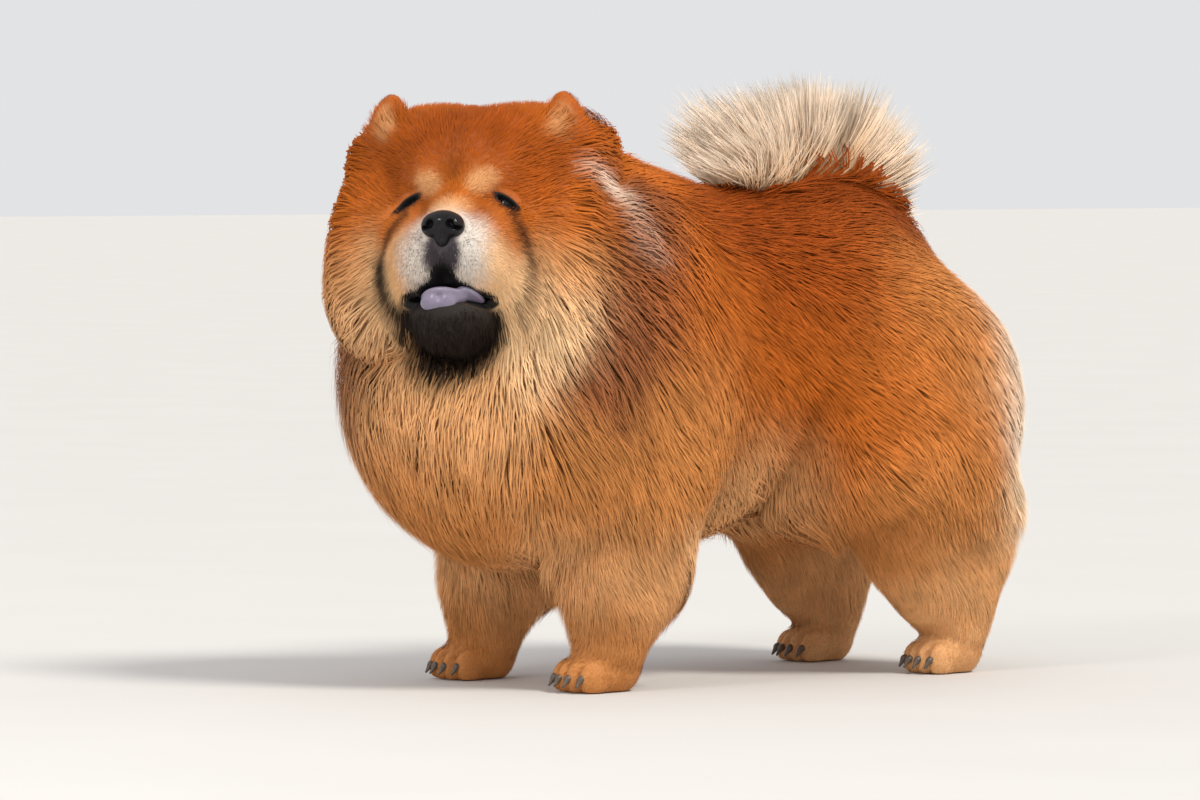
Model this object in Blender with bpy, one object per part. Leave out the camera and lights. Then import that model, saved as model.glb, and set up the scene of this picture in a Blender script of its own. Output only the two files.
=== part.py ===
"""A chow chow standing still, life size, as a museum model of the living dog.

Metres, +Z up. The dog faces -Y with its left side at +X, stands on four flat soles at z = 0, and turns its
head to its left. Each piece of flesh is a smooth blend of a few named masses with part of the coat's depth
on it. Locks of coat are rooted in the flesh and run along the lie of the hair, out to the coat's true tips.
"""

import itertools
import math

import bmesh
import bpy
import numpy as np

# Driving dimensions, in metres
GROWTH = 0.0005  # a neighbour is grown by this before it cuts a piece, which leaves at least the gap
LEG_SPREAD = 0.117  # from the middle of the body to the middle of a leg
FORE_Y = -0.200  # where the forelegs stand, along the body
HIND_Y = 0.262  # where the hind legs stand
ANKLE = 0.048  # height where a leg ends and its paw begins
SHORT_BELOW = 0.10  # height under which the coat of the legs is too short for locks
CORE_SHARE = 0.42  # how much of the coat's depth the solid flesh takes up, from the skin out

# The head's own frame: its middle, and how far it is turned, raised and tilted
HEAD_AT = (0.021, -0.308, 0.521)
HEAD_TURN = math.radians(39)
HEAD_RAISE = math.radians(6)
HEAD_TILT = math.radians(1)

# Places on the head: forward, to the left and up from its middle
EYE_AT = (0.0655, 0.0490, -0.0030)
EYE_RADIUS = 0.0115
LID_RADIUS = 0.0150
NOSE_AT = (0.1330, 0.0, -0.0300)
EAR_AT = (0.0020, 0.0940, 0.0780)
MOUTH_AT = (0.0860, 0.0, -0.1000)
CHIN_COAT = 0.008  # depth of the coat on the chin
EAR_COAT = 0.004

TAIL_CURL = (0.150, 0.492)  # y and z of the middle of the tail's curl
TAIL_SPAN = 0.082  # from there to the curl's front and back
TAIL_RISE = 0.068  # from there to the curl's top
TAIL_HAIR = 0.105  # length of the hair on the tail
TAIL_SHARE = 0.22  # how much of that the solid tail takes up
PLUME_ROOT = 0.085  # from the middle of the curl to the roots of the fan's locks
PLUME_LENGTH = 0.106
PLUME_BEND = 0.022  # how far a lock's tip bends towards the front
PLUME_SWEEP = (0, 180)  # degrees, from the back over the top to the front
PLUME_LEAN = 46  # degrees, how far the outer locks lean to each side
PLUME_WIDTH = 0.066
PLUME_ROW = 11  # locks from the back of the fan to its front
PLUME_LAYERS = 3  # rows side by side
SEED = 11

# How fine each surface is: the width of the grid it is found on, and about how many triangles it keeps
DETAIL = {
    "tongue": (0.002, 140),
    "head": (0.005, 1100),
    "nose": (0.002, 160),
    "jaw": (0.004, 230),
    "ear": (0.003, 200),
    "neck": (0.008, 360),
    "torso": (0.009, 560),
    "tail": (0.008, 240),
    "foreleg": (0.006, 210),
    "hindleg": (0.006, 240),
    "forepaw": (0.003, 260),
    "hindpaw": (0.003, 260),
    "claw": (0.0012, 26),
}
MOST_TRIES = 30
LOCKS = {"head": 21, "neck": 24, "torso": 43, "foreleg": 8, "hindleg": 12}


# Frames and places


def unit(vectors):
    return vectors / np.maximum(np.linalg.norm(vectors, axis=-1, keepdims=True), 1e-9)


def head_axes():
    """Forward, left and up of the head, one in each row."""
    level_part = math.cos(HEAD_RAISE)
    forward = np.array(
        [
            math.sin(HEAD_TURN) * level_part,
            -math.cos(HEAD_TURN) * level_part,
            math.sin(HEAD_RAISE),
        ]
    )
    level = np.array([math.cos(HEAD_TURN), math.sin(HEAD_TURN), 0.0])
    left = level * math.cos(HEAD_TILT) + np.cross(forward, level) * math.sin(HEAD_TILT)
    return np.stack([forward, left, np.cross(forward, left)])


HEAD_AXES = head_axes()


def on_head(forward, left, up):
    """A place given in the head's own frame, in the frame of the body."""
    return np.array([forward, left, up]) @ HEAD_AXES + np.array(HEAD_AT)


def beside(place, side):
    """The same place on the dog's left (1) or right (-1)."""
    return (place[0], side * place[1], place[2])


def tail_line(share):
    """A point on the tail, from its root on the croup, up and over to its tip above the back."""
    angle = math.radians(-42 + 232 * share)
    y = TAIL_CURL[0] + TAIL_SPAN * math.cos(angle)
    z = TAIL_CURL[1] + TAIL_RISE * math.sin(angle)
    return (0.0, y, z)


# Masses. Each is a function from points to their distance from its surface, negative inside.


def ball(centre, radii, axes=np.eye(3)):
    """An ellipsoid. Each row of axes is the direction of one radius."""
    centre, radii = np.array(centre, float), np.array(radii, float)

    def distance(points):
        local = (points - centre) @ axes.T
        near = np.linalg.norm(local / radii, axis=1)
        slope = np.linalg.norm(local / radii**2, axis=1)
        return near * (near - 1) / np.maximum(slope, 1e-9)

    return distance


def head_ball(centre, radii):
    return ball(on_head(*centre), radii, HEAD_AXES)


def turned_ball(centre, radii, roll, pitch=0.0):
    """On the head, leaned outward by roll and back by pitch, both in radians."""
    lean = np.array([[1, 0, 0], [0, math.cos(roll), -math.sin(roll)], [0, math.sin(roll), math.cos(roll)]])
    cos, sin = math.cos(pitch), math.sin(pitch)
    back = np.array([[cos, 0, sin], [0, 1, 0], [-sin, 0, cos]])
    return ball(on_head(*centre), radii, lean @ back @ HEAD_AXES)


def limb(start, end, start_radius, end_radius):
    """A round bar with round ends that tapers from one radius to the other."""
    start, along = np.array(start, float), np.array(end, float) - np.array(start, float)

    def distance(points):
        share = np.clip((points - start) @ along / (along @ along), 0, 1)
        away = np.linalg.norm(points - start - share[:, None] * along, axis=1)
        return away - (start_radius + (end_radius - start_radius) * share)

    return distance


def blended(masses, softness):
    """The masses as one form, with rounded valleys where they meet."""

    def distance(points):
        total = masses[0](points)
        for mass in masses[1:]:
            other = mass(points)
            mix = np.clip(0.5 + 0.5 * (other - total) / softness, 0, 1)
            total = other * (1 - mix) + total * mix - softness * mix * (1 - mix)
        return total

    return distance


def carved(body, hollows, softness):
    """The body with rounded hollows taken out of it."""
    hollow = blended(hollows, softness)

    def distance(points):
        total, other = body(points), -hollow(points)
        mix = np.clip(0.5 - 0.5 * (other - total) / softness, 0, 1)
        return other * (1 - mix) + total * mix + softness * mix * (1 - mix)

    return distance


def creased(body, lines, width):
    """The body with soft folds pressed in along lines of points, each as deep as it says."""
    pieces = [(line[i], line[i + 1], depth) for line, depth in lines for i in range(len(line) - 1)]

    def distance(points):
        fold = np.zeros(len(points))
        for start, end, depth in pieces:
            along = end - start
            share = np.clip((points - start) @ along / (along @ along), 0, 1)
            away = np.linalg.norm(points - start - share[:, None] * along, axis=1)
            fold = np.maximum(fold, depth * np.exp(-((away / width) ** 2)))
        return body(points) + fold

    return distance


# The flesh of each part


def torso_masses():
    return [
        ball((0, -0.100, 0.365), (0.130, 0.190, 0.135)),
        ball((0, -0.238, 0.325), (0.115, 0.105, 0.125)),
        ball((0, 0.070, 0.385), (0.115, 0.160, 0.105)),
        ball((0, 0.165, 0.372), (0.110, 0.128, 0.115)),
        ball((0, 0.165, 0.425), (0.088, 0.105, 0.080)),
    ]


def neck_masses():
    return [
        ball((0.008, -0.240, 0.428), (0.105, 0.110, 0.120)),
        limb((0.004, -0.200, 0.420), on_head(-0.045, 0, -0.030), 0.105, 0.082),
    ]


def head_masses():
    masses = [
        head_ball((0.000, 0, 0.014), (0.084, 0.092, 0.078)),
        head_ball((-0.006, 0.044, 0.056), (0.056, 0.052, 0.041)),
        head_ball((-0.006, -0.044, 0.056), (0.056, 0.052, 0.041)),
        head_ball((0.046, 0, 0.030), (0.036, 0.058, 0.040)),
        head_ball((0.030, 0, -0.070), (0.055, 0.055, 0.045)),
        limb(on_head(0.066, 0, -0.006), on_head(0.108, 0, -0.030), 0.034, 0.024),
        head_ball((0.094, 0, -0.052), (0.041, 0.050, 0.030)),
    ]
    for side in (1, -1):
        masses += [
            head_ball((0.063, side * 0.028, 0.024), (0.020, 0.024, 0.017)),
            head_ball((0.020, side * 0.070, -0.045), (0.060, 0.042, 0.066)),
            head_ball((0.060, side * 0.045, -0.042), (0.044, 0.034, 0.040)),
            head_ball((0.094, side * 0.033, -0.064), (0.042, 0.031, 0.035)),
            head_ball((0.070, side * 0.044, -0.078), (0.040, 0.026, 0.030)),
        ]
    return masses


def head_creases():
    """Where the face folds, and how deep: down from each eye, between the brows and below the nose."""
    lines = [
        ([on_head(0.088, 0, 0.020), on_head(0.068, 0, 0.052)], 0.005),
        ([on_head(0.146, 0, -0.052), on_head(0.138, 0, -0.082)], 0.010),
    ]
    for side in (1, -1):
        furrow = [(0.070, 0.066, -0.004), (0.062, 0.083, -0.034), (0.058, 0.084, -0.078)]
        lines.append(([on_head(*beside(place, side)) for place in furrow], 0.010))
    return lines


def head_form():
    body = blended(head_masses(), 0.014)
    folded = creased(body, head_creases(), 0.009)
    mouth = [
        head_ball(MOUTH_AT, (0.058, 0.047, 0.014)),
        head_ball((0.125, 0, -0.092), (0.022, 0.014, 0.022)),
    ]
    return carved(folded, mouth, 0.006)


def jaw_form():
    masses = [
        head_ball((0.082, 0, -0.124), (0.044, 0.040, 0.020)),
        head_ball((0.045, 0, -0.122), (0.050, 0.046, 0.026)),
        head_ball((0.092, 0, -0.134), (0.030, 0.030, 0.018)),
    ]
    hollow = [head_ball((0.086, 0, -0.096), (0.034, 0.027, 0.016))]
    return carved(blended(masses, 0.014), hollow, 0.006)


def tongue_form():
    masses = [
        head_ball((0.090, 0, -0.1035), (0.034, 0.020, 0.0040)),
        turned_ball((0.121, -0.004, -0.1065), (0.015, 0.021, 0.0040), 0.0, 0.75),
    ]
    return with_layer(blended(masses, 0.006), 0.0025)


def nose_form():
    f, _, u = NOSE_AT
    masses = [
        head_ball((f, 0, u), (0.0190, 0.0200, 0.0150)),
        head_ball((f + 0.003, 0.0125, u - 0.002), (0.0135, 0.0105, 0.0115)),
        head_ball((f + 0.003, -0.0125, u - 0.002), (0.0135, 0.0105, 0.0115)),
        head_ball((f + 0.002, 0, u - 0.014), (0.0120, 0.0085, 0.0100)),
    ]
    return blended(masses, 0.005)


def ear_form(side):
    """A small thick ear that narrows to a round tip, with its cup to the front."""
    place = beside(EAR_AT, side)
    lean = -side * math.radians(14)
    outer = [
        turned_ball((place[0], place[1], place[2] - 0.006), (0.0145, 0.0240, 0.0370), lean),
        turned_ball((place[0] - 0.001, place[1], place[2] + 0.016), (0.0115, 0.0160, 0.0290), lean),
        head_ball((place[0] - 0.004, place[1] - side * 0.010, place[2] - 0.024), (0.022, 0.032, 0.028)),
    ]
    cup = [turned_ball((place[0] + 0.015, place[1], place[2] + 0.001), (0.0115, 0.0135, 0.0280), lean)]
    return carved(blended(outer, 0.010), cup, 0.005)


def foreleg_masses(side):
    x = side * LEG_SPREAD
    return [
        ball((side * 0.100, FORE_Y + 0.030, 0.320), (0.060, 0.080, 0.100)),
        limb((side * 0.108, FORE_Y + 0.022, 0.270), (x, FORE_Y + 0.008, 0.110), 0.054, 0.038),
        limb((x, FORE_Y + 0.008, 0.110), (x, FORE_Y - 0.002, 0.048), 0.038, 0.036),
    ]


def hindleg_masses(side):
    x = side * LEG_SPREAD
    return [
        ball((side * 0.085, 0.202, 0.290), (0.068, 0.103, 0.128)),
        limb((side * 0.100, 0.185, 0.230), (x, HIND_Y + 0.022, 0.145), 0.066, 0.039),
        limb((x, HIND_Y + 0.022, 0.145), (x, HIND_Y + 0.016, 0.050), 0.036, 0.032),
    ]


PAWS = {"forepaw": (FORE_Y - 0.012, 1.0), "hindpaw": (HIND_Y + 0.004, 0.92)}  # y of its middle, and size
TOES = (-1.5, -0.5, 0.5, 1.5)


def toe_place(side, paw, toe):
    """The middle of a toe. The two inner ones reach furthest."""
    y, size = PAWS[paw]
    reach = (0.0360 - 0.0055 * abs(toe)) * size
    return np.array([side * LEG_SPREAD + toe * 0.0165 * size, y - reach, 0.0160])


def paw_form(side, paw):
    y, size = PAWS[paw]
    x = side * LEG_SPREAD
    masses = [
        ball((x, y + 0.004, 0.026), (0.034 * size, 0.040 * size, 0.034)),
        ball((x, y - 0.012, 0.020), (0.034 * size, 0.030 * size, 0.027)),
        limb((x, y + 0.010, 0.030), (x, y + 0.014, 0.056), 0.033 * size, 0.034 * size),
    ]
    for toe in TOES:
        masses.append(ball(toe_place(side, paw, toe), (0.0105 * size, 0.0190 * size, 0.0190)))
    return blended(masses, 0.004)


def claw_form(side, paw, toe):
    """A short claw that comes down out of the end of its toe."""
    root = toe_place(side, paw, toe) + np.array([0, -0.0100, 0.0040])
    tip = root + np.array([0, -0.0170, -0.0130])
    return limb(root, tip, 0.0038, 0.0010)


def tail_masses():
    count = 9
    stations = [tail_line(share) for share in np.linspace(0, 1, count)]
    thick = np.linspace(0.034, 0.020, count)
    return [limb(stations[i], stations[i + 1], thick[i], thick[i + 1]) for i in range(count - 1)]


# The coat. A spot says how deep the coat is near its place and which way the hair lies there.


class Coat:
    def __init__(self, spots):
        """Each spot has its place, its reach, the depth of the coat and the lie of the hair."""
        self.places = np.array([spot[0] for spot in spots], float)
        self.reaches = np.array([spot[1] for spot in spots])
        self.depths = np.array([spot[2] for spot in spots])
        self.lies = unit(np.array([spot[3] for spot in spots], float))

    def near(self, points):
        """How much each spot counts at each point."""
        away = np.linalg.norm(points[:, None] - self.places[None], axis=2) / self.reaches
        weight = np.exp(-(away**2)) + 1e-9 / (1 + away**2)
        return weight / weight.sum(axis=1)[:, None]

    def depth(self, points):
        return self.near(points) @ self.depths

    def lie(self, points):
        return self.near(points) @ self.lies


def head_spots():
    forward, left, up = HEAD_AXES
    spots = [
        (on_head(0.010, 0, 0.100), 0.06, 0.022, -forward + 0.6 * up),
        (on_head(-0.070, 0, 0.050), 0.07, 0.060, -forward + 0.2 * up),
        (on_head(0.110, 0, -0.020), 0.06, 0.005, -forward - 0.3 * up),
        (on_head(0.110, 0, -0.080), 0.05, 0.007, -0.5 * forward - up),
        (on_head(0.030, 0, -0.150), 0.06, 0.060, -up + 0.15 * forward),
    ]
    for side in (1, -1):
        out = side * left
        spots += [
            (on_head(0.055, side * 0.05, 0.045), 0.042, 0.012, -0.8 * forward + 0.5 * out + 0.4 * up),
            (on_head(0.085, side * 0.05, 0.000), 0.040, 0.002, -0.8 * forward + 0.5 * out),
            (on_head(0.075, side * 0.05, -0.060), 0.045, 0.009, -0.9 * forward + 0.3 * out - 0.5 * up),
            (on_head(0.020, side * 0.11, -0.030), 0.050, 0.050, -0.5 * forward + out - 0.3 * up),
            (on_head(-0.040, side * 0.10, 0.000), 0.065, 0.066, -0.8 * forward + 0.9 * out),
            (on_head(0.015, side * 0.09, -0.110), 0.055, 0.074, 0.6 * out - 0.2 * forward - 0.8 * up),
        ]
    return spots


def body_spots():
    spots = [
        ((0, 0.050, 0.500), 0.12, 0.048, (0, 1, -0.10)),
        ((0, -0.030, 0.230), 0.10, 0.092, (0, 0.35, -1)),
        ((0, 0.160, 0.250), 0.09, 0.030, (0, 0.35, -1)),
        ((0, -0.350, 0.290), 0.10, 0.094, (0, -0.15, -1)),
        ((0, -0.300, 0.200), 0.08, 0.078, (0, 0.05, -1)),
        ((0.01, -0.170, 0.550), 0.08, 0.082, (0, 1, 0.25)),
        ((0, 0.290, 0.470), 0.08, 0.060, (0, 1, -0.3)),
        (on_head(0, 0, 0.030), 0.10, 0.020, -HEAD_AXES[0]),
        (on_head(0.050, 0, -0.080), 0.09, 0.030, -HEAD_AXES[2]),
    ]
    for side in (1, -1):
        spots += [
            ((side * 0.13, 0.020, 0.360), 0.12, 0.046, (0, 0.8, -0.6)),
            ((side * 0.13, -0.250, 0.420), 0.09, 0.120, (side * 0.35, 0.55, -0.75)),
            ((side * 0.15, -0.170, 0.320), 0.08, 0.052, (side * 0.1, 0.45, -0.9)),
            ((side * 0.08, 0.330, 0.300), 0.09, 0.086, (side * 0.1, 0.60, -0.8)),
            ((side * 0.15, 0.200, 0.300), 0.08, 0.050, (side * 0.1, 0.6, -0.8)),
            ((side * 0.12, 0.290, 0.130), 0.06, 0.020, (0, 0.4, -0.9)),
            ((side * 0.12, 0.270, 0.040), 0.05, 0.005, (0, 0.1, -1)),
            ((side * 0.12, -0.210, 0.130), 0.06, 0.022, (0, 0.35, -0.95)),
            ((side * 0.12, -0.140, 0.170), 0.05, 0.045, (0, 0.6, -0.8)),
            ((side * 0.12, -0.210, 0.040), 0.05, 0.005, (0, 0.1, -1)),
        ]
    return spots


HEAD_COAT = Coat(head_spots())
BODY_COAT = Coat(body_spots())


def with_coat(flesh, coat, share):
    return lambda points: flesh(points) - share * coat.depth(points)


def with_layer(flesh, depth):
    return lambda points: flesh(points) - depth


def slope_of(form, points, step=0.001):
    """The way out of a form at each point."""
    found = np.zeros_like(points)
    for axis in range(3):
        shift = np.zeros(3)
        shift[axis] = step
        found[:, axis] = form(points + shift) - form(points - shift)
    return unit(found)


# Meshes


def mesh_object(name, points, faces):
    mesh = bpy.data.meshes.new(name)
    mesh.from_pydata(np.asarray(points, float).tolist(), [], [[int(v) for v in face] for face in faces])
    thing = bpy.data.objects.new(name, mesh)
    bpy.context.scene.collection.objects.link(thing)
    return thing


def box_round(form, inside):
    """The corners of a box that holds all of a form, found by moving each side out from a point inside."""
    low, high = np.array(inside, float) - 0.02, np.array(inside, float) + 0.02
    while True:
        grid = grid_of([np.linspace(low[i], high[i], 17) for i in range(3)])
        value = form(grid.reshape(-1, 3)).reshape(grid.shape[:3])
        first = np.array([value.take(0, axis).min() < 0.004 for axis in range(3)])
        last = np.array([value.take(-1, axis).min() < 0.004 for axis in range(3)])
        if not (first.any() or last.any()):
            return low, high
        low, high = low - 0.012 * first, high + 0.012 * last


def grid_of(axes):
    return np.stack(np.meshgrid(*axes, indexing="ij"), -1)


def values_on(form, grid, batch=200000):
    """The form's distance at each point of a grid, worked out in batches."""
    points = grid.reshape(-1, 3)
    parts = [form(points[start : start + batch]) for start in range(0, len(points), batch)]
    return np.concatenate(parts).reshape(grid.shape[:3])


def surface_of(form, low, high, step):
    """A closed mesh of triangles where the form's distance is zero, from six wedges of every grid cell."""
    grid = grid_of([np.arange(low[i], high[i] + step, step) for i in range(3)])
    value = values_on(form, grid).ravel()
    size = np.array(grid.shape[:3])
    grid = grid.reshape(-1, 3)
    strides = np.array([size[1] * size[2], size[2], 1])
    first = np.arange(len(value)).reshape(size)[:-1, :-1, :-1].ravel()
    triangles = []
    for order in itertools.permutations(range(3)):
        corners = first[:, None] + np.cumsum([0, *strides[list(order)]])
        inside = value[corners] < 0
        count = inside.sum(axis=1)
        for number in (1, 2, 3):
            picked = count == number
            ranked = np.argsort(~inside[picked], axis=1, kind="stable")
            wedge = np.take_along_axis(corners[picked], ranked, axis=1)
            triangles += wedge_triangles(wedge, number, grid)
    edges = np.concatenate(triangles)
    flat = np.sort(edges.reshape(-1, 2), axis=1)
    keys, index = np.unique(flat[:, 0] * len(value) + flat[:, 1], return_inverse=True)
    one, two = keys // len(value), keys % len(value)
    share = np.clip(value[one] / (value[one] - value[two]), 0.05, 0.95)[:, None]
    return grid[one] * (1 - share) + grid[two] * share, index.reshape(-1, 3)


def wedge_triangles(wedge, number, grid):
    """Triangles between the wedge's first corners, inside, and the rest. Their corners are its edges."""
    a, b, c, d = wedge.T
    cuts = {
        1: [((a, b), (a, c), (a, d))],
        2: [((a, c), (a, d), (b, d)), ((a, c), (b, d), (b, c))],
        3: [((a, d), (b, d), (c, d))],
    }[number]
    way_out = grid[wedge[:, number:]].mean(axis=1) - grid[wedge[:, :number]].mean(axis=1)
    made = []
    for cut in cuts:
        edges = np.stack([np.stack(edge, 1) for edge in cut], 1)
        middles = grid[edges].mean(axis=2)
        normal = np.cross(middles[:, 1] - middles[:, 0], middles[:, 2] - middles[:, 0])
        back = (normal * way_out).sum(axis=1) < 0
        edges[back] = edges[back][:, ::-1]
        made.append(edges)
    return made


def as_evaluated(thing):
    """Keeps the mesh that the modifiers make, without them."""
    graph = bpy.context.evaluated_depsgraph_get()
    mesh = bpy.data.meshes.new_from_object(thing.evaluated_get(graph))
    thing.modifiers.clear()
    thing.data = mesh


def thinned(name, points, faces, triangles):
    """A closed surface as a mesh of about that many triangles."""
    for extra in range(0, 200, 20):
        thing = mesh_object(name, points, faces)
        fewer = thing.modifiers.new("fewer", "DECIMATE")
        fewer.ratio = min(1.0, (triangles + extra) / len(faces))
        fewer.use_collapse_triangulate = True
        as_evaluated(thing)
        if is_closed(thing.data):
            return thing
        bpy.data.objects.remove(thing)
    raise ValueError(name + " has no closed mesh")


def is_closed(mesh):
    shape = bmesh.new()
    shape.from_mesh(mesh)
    closed = all(edge.is_manifold for edge in shape.edges)
    shape.free()
    return closed


def is_sound(thing):
    """Whether no edge of the mesh lies on another one, also where its points are rounded a little."""
    points, faces = triangles_in(thing)
    for merge in (1e-7, 1e-6):
        index = np.unique(np.round(points / merge), axis=0, return_inverse=True)[1].reshape(-1)
        placed = np.sort(index[faces], axis=1)
        placed = placed[(placed[:, 0] != placed[:, 1]) & (placed[:, 1] != placed[:, 2])]
        edges = np.concatenate([placed[:, [0, 1]], placed[:, [1, 2]], placed[:, [0, 2]]])
        if (np.unique(edges, axis=0, return_counts=True)[1] != 2).any():
            return False
    return True


def ellipsoid(name, centre, radii, axes=HEAD_AXES, around=10, along=7):
    """A small closed ellipsoid of triangles."""
    shape = bmesh.new()
    bmesh.ops.create_uvsphere(shape, u_segments=around, v_segments=along, radius=1)
    bmesh.ops.triangulate(shape, faces=shape.faces)
    for vertex in shape.verts:
        vertex.co = (np.array(vertex.co) * np.array(radii)) @ axes + np.array(centre)
    mesh = bpy.data.meshes.new(name)
    shape.to_mesh(mesh)
    shape.free()
    thing = bpy.data.objects.new(name, mesh)
    bpy.context.scene.collection.objects.link(thing)
    return thing


def block(name, low, high):
    low, high = np.array(low), np.array(high)
    corners = [(x, y, z) for x in (0, 1) for y in (0, 1) for z in (0, 1)]
    points = [low + (high - low) * np.array(corner) for corner in corners]
    faces = [(0, 1, 3, 2), (4, 6, 7, 5), (0, 4, 5, 1), (2, 3, 7, 6), (0, 2, 6, 4), (1, 5, 7, 3)]
    return mesh_object(name, points, faces)


def below(height):
    return block("below", (-1, -1, -0.1), (1, 1, height))


def grown(points, faces, growth):
    """The points of a closed mesh, moved so that every triangle comes out by the growth or a little more."""
    corners = points[faces]
    normals = unit(np.cross(corners[:, 1] - corners[:, 0], corners[:, 2] - corners[:, 0]))
    each = np.bincount(faces.ravel(), minlength=len(points))[:, None]
    moves = np.zeros_like(points)
    for _ in range(160):
        push = np.zeros_like(points)
        for at in faces.T:
            lack = np.maximum(growth - (normals * moves[at]).sum(axis=1), 0)
            np.add.at(push, at, normals * lack[:, None])
        moves += 1.9 * push / each
    return points + moves


def triangles_in(thing):
    """The corners and triangles of a mesh, as arrays."""
    mesh = thing.data
    mesh.calc_loop_triangles()
    points = np.array([vertex.co for vertex in mesh.vertices])
    return points, np.array([triangle.vertices for triangle in mesh.loop_triangles])


def grown_copy(thing, growth=GROWTH):
    points, faces = triangles_in(thing)
    return mesh_object(thing.name + "_grown", grown(points, faces, growth), faces)


def combine(body, others, operation):
    """One Boolean of the body with closed meshes, which are then removed."""
    if not others:
        return
    group = bpy.data.collections.new("others")
    bpy.context.scene.collection.children.link(group)
    for other in others:
        bpy.context.scene.collection.objects.unlink(other)
        group.objects.link(other)
    change = body.modifiers.new("change", "BOOLEAN")
    change.operation = operation
    change.operand_type = "COLLECTION"
    change.collection = group
    change.solver = "MANIFOLD"
    as_evaluated(body)
    for other in others:
        bpy.data.objects.remove(other)
    bpy.data.collections.remove(group)


def keep_largest(thing):
    """Keeps the largest closed surface, which drops loose scraps and fills sealed hollows."""
    shape = bmesh.new()
    shape.from_mesh(thing.data)
    left, islands = set(shape.verts), []
    while left:
        found, edge = set(), [left.pop()]
        while edge:
            vertex = edge.pop()
            found.add(vertex)
            others = [link.other_vert(vertex) for link in vertex.link_edges]
            fresh = [other for other in others if other in left]
            left.difference_update(fresh)
            edge.extend(fresh)
        islands.append(found)
    islands.sort(key=spread_of)
    loose = [vertex for island in islands[:-1] for vertex in island]
    bmesh.ops.delete(shape, geom=loose, context="VERTS")
    shape.to_mesh(thing.data)
    shape.free()


def spread_of(vertices):
    places = np.array([vertex.co for vertex in vertices])
    return float(np.linalg.norm(places.max(axis=0) - places.min(axis=0)))


# Locks of coat

STOPS = (0.0, 0.36, 0.72, 1.0)  # a lock's cross sections along its length, and its point
STOP_WIDTHS = (0.60, 1.0, 0.66)
PLUME_WIDTHS = (0.50, 0.95, 0.80)
THICKNESS = 0.17  # of a lock, in its own widths
ROOT_DEPTH = 0.012  # how far a lock's root is sunk in the flesh


class Locks:
    """The locks of one node: their paths over the body, the way out at each stop, and their sizes."""

    def __init__(self, paths, outs, widths, shares):
        self.paths, self.outs, self.widths, self.shares = paths, outs, widths, shares
        self.thick = THICKNESS * widths + 0.001

    def meshes(self):
        return [mesh_object("lock", *self.shape(i)) for i in range(len(self.paths))]

    def cutters(self, low, high):
        """The locks that come into a box, grown to cut what they would touch."""
        made = []
        for i, path in enumerate(self.paths):
            if ((path.max(axis=0) > low) & (path.min(axis=0) < high)).all():
                points, faces = self.shape(i)
                made.append(mesh_object("cutter", grown(points, faces, GROWTH), faces))
        return made

    def shape(self, i):
        """A flat lock with a ridge along its back, widest after its root and drawn to a point."""
        path, out = self.paths[i], self.outs[i]
        points = []
        for stop, share in enumerate(self.shares):
            ahead = unit(path[stop + 1] - path[stop])
            side = unit(np.cross(ahead, out[stop])) * self.widths[i] * share / 2
            ridge = unit(np.cross(side, ahead)) * self.thick[i] * share
            points += [path[stop] - side, path[stop] + side, path[stop] + ridge]
        points.append(path[-1])
        tip = len(points) - 1
        faces = [(0, 1, 2)]
        for ring in range(0, tip - 3, 3):
            for a in range(3):
                b = (a + 1) % 3
                faces += [(ring + a, ring + b + 3, ring + b), (ring + a, ring + a + 3, ring + b + 3)]
        faces += [(tip - 3 + (a + 1) % 3, tip - 3 + a, tip) for a in range(3)]
        return np.array(points), np.array(faces)


def surface_points(thing, count, rng):
    """Random places on a mesh, even over its area."""
    points, faces = triangles_in(thing)
    corners = points[faces]
    one, two = corners[:, 1] - corners[:, 0], corners[:, 2] - corners[:, 0]
    area = np.linalg.norm(np.cross(one, two), axis=1)
    pick = rng.choice(len(corners), count, p=area / area.sum())
    u, v = rng.random((2, count, 1))
    over = u + v > 1
    u, v = np.where(over, 1 - u, u), np.where(over, 1 - v, v)
    return corners[pick, 0] + u * one[pick] + v * two[pick]


def spread_out(points, count):
    """So many of the points, each as far as can be from those before it."""
    chosen = [0]
    nearest = np.linalg.norm(points - points[0], axis=1)
    while len(chosen) < min(count, len(points)):
        chosen.append(int(nearest.argmax()))
        nearest = np.minimum(nearest, np.linalg.norm(points - points[chosen[-1]], axis=1))
    return points[chosen]


def open_places(thing, rng, count, covers):
    """Places spread over what no cover hides. A cover is a form and how deep in it a place is hidden."""
    points = surface_points(thing, 40 * count, rng)
    for form, depth in covers:
        points = points[form(points) > -depth]
    return spread_out(points, count)


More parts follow.
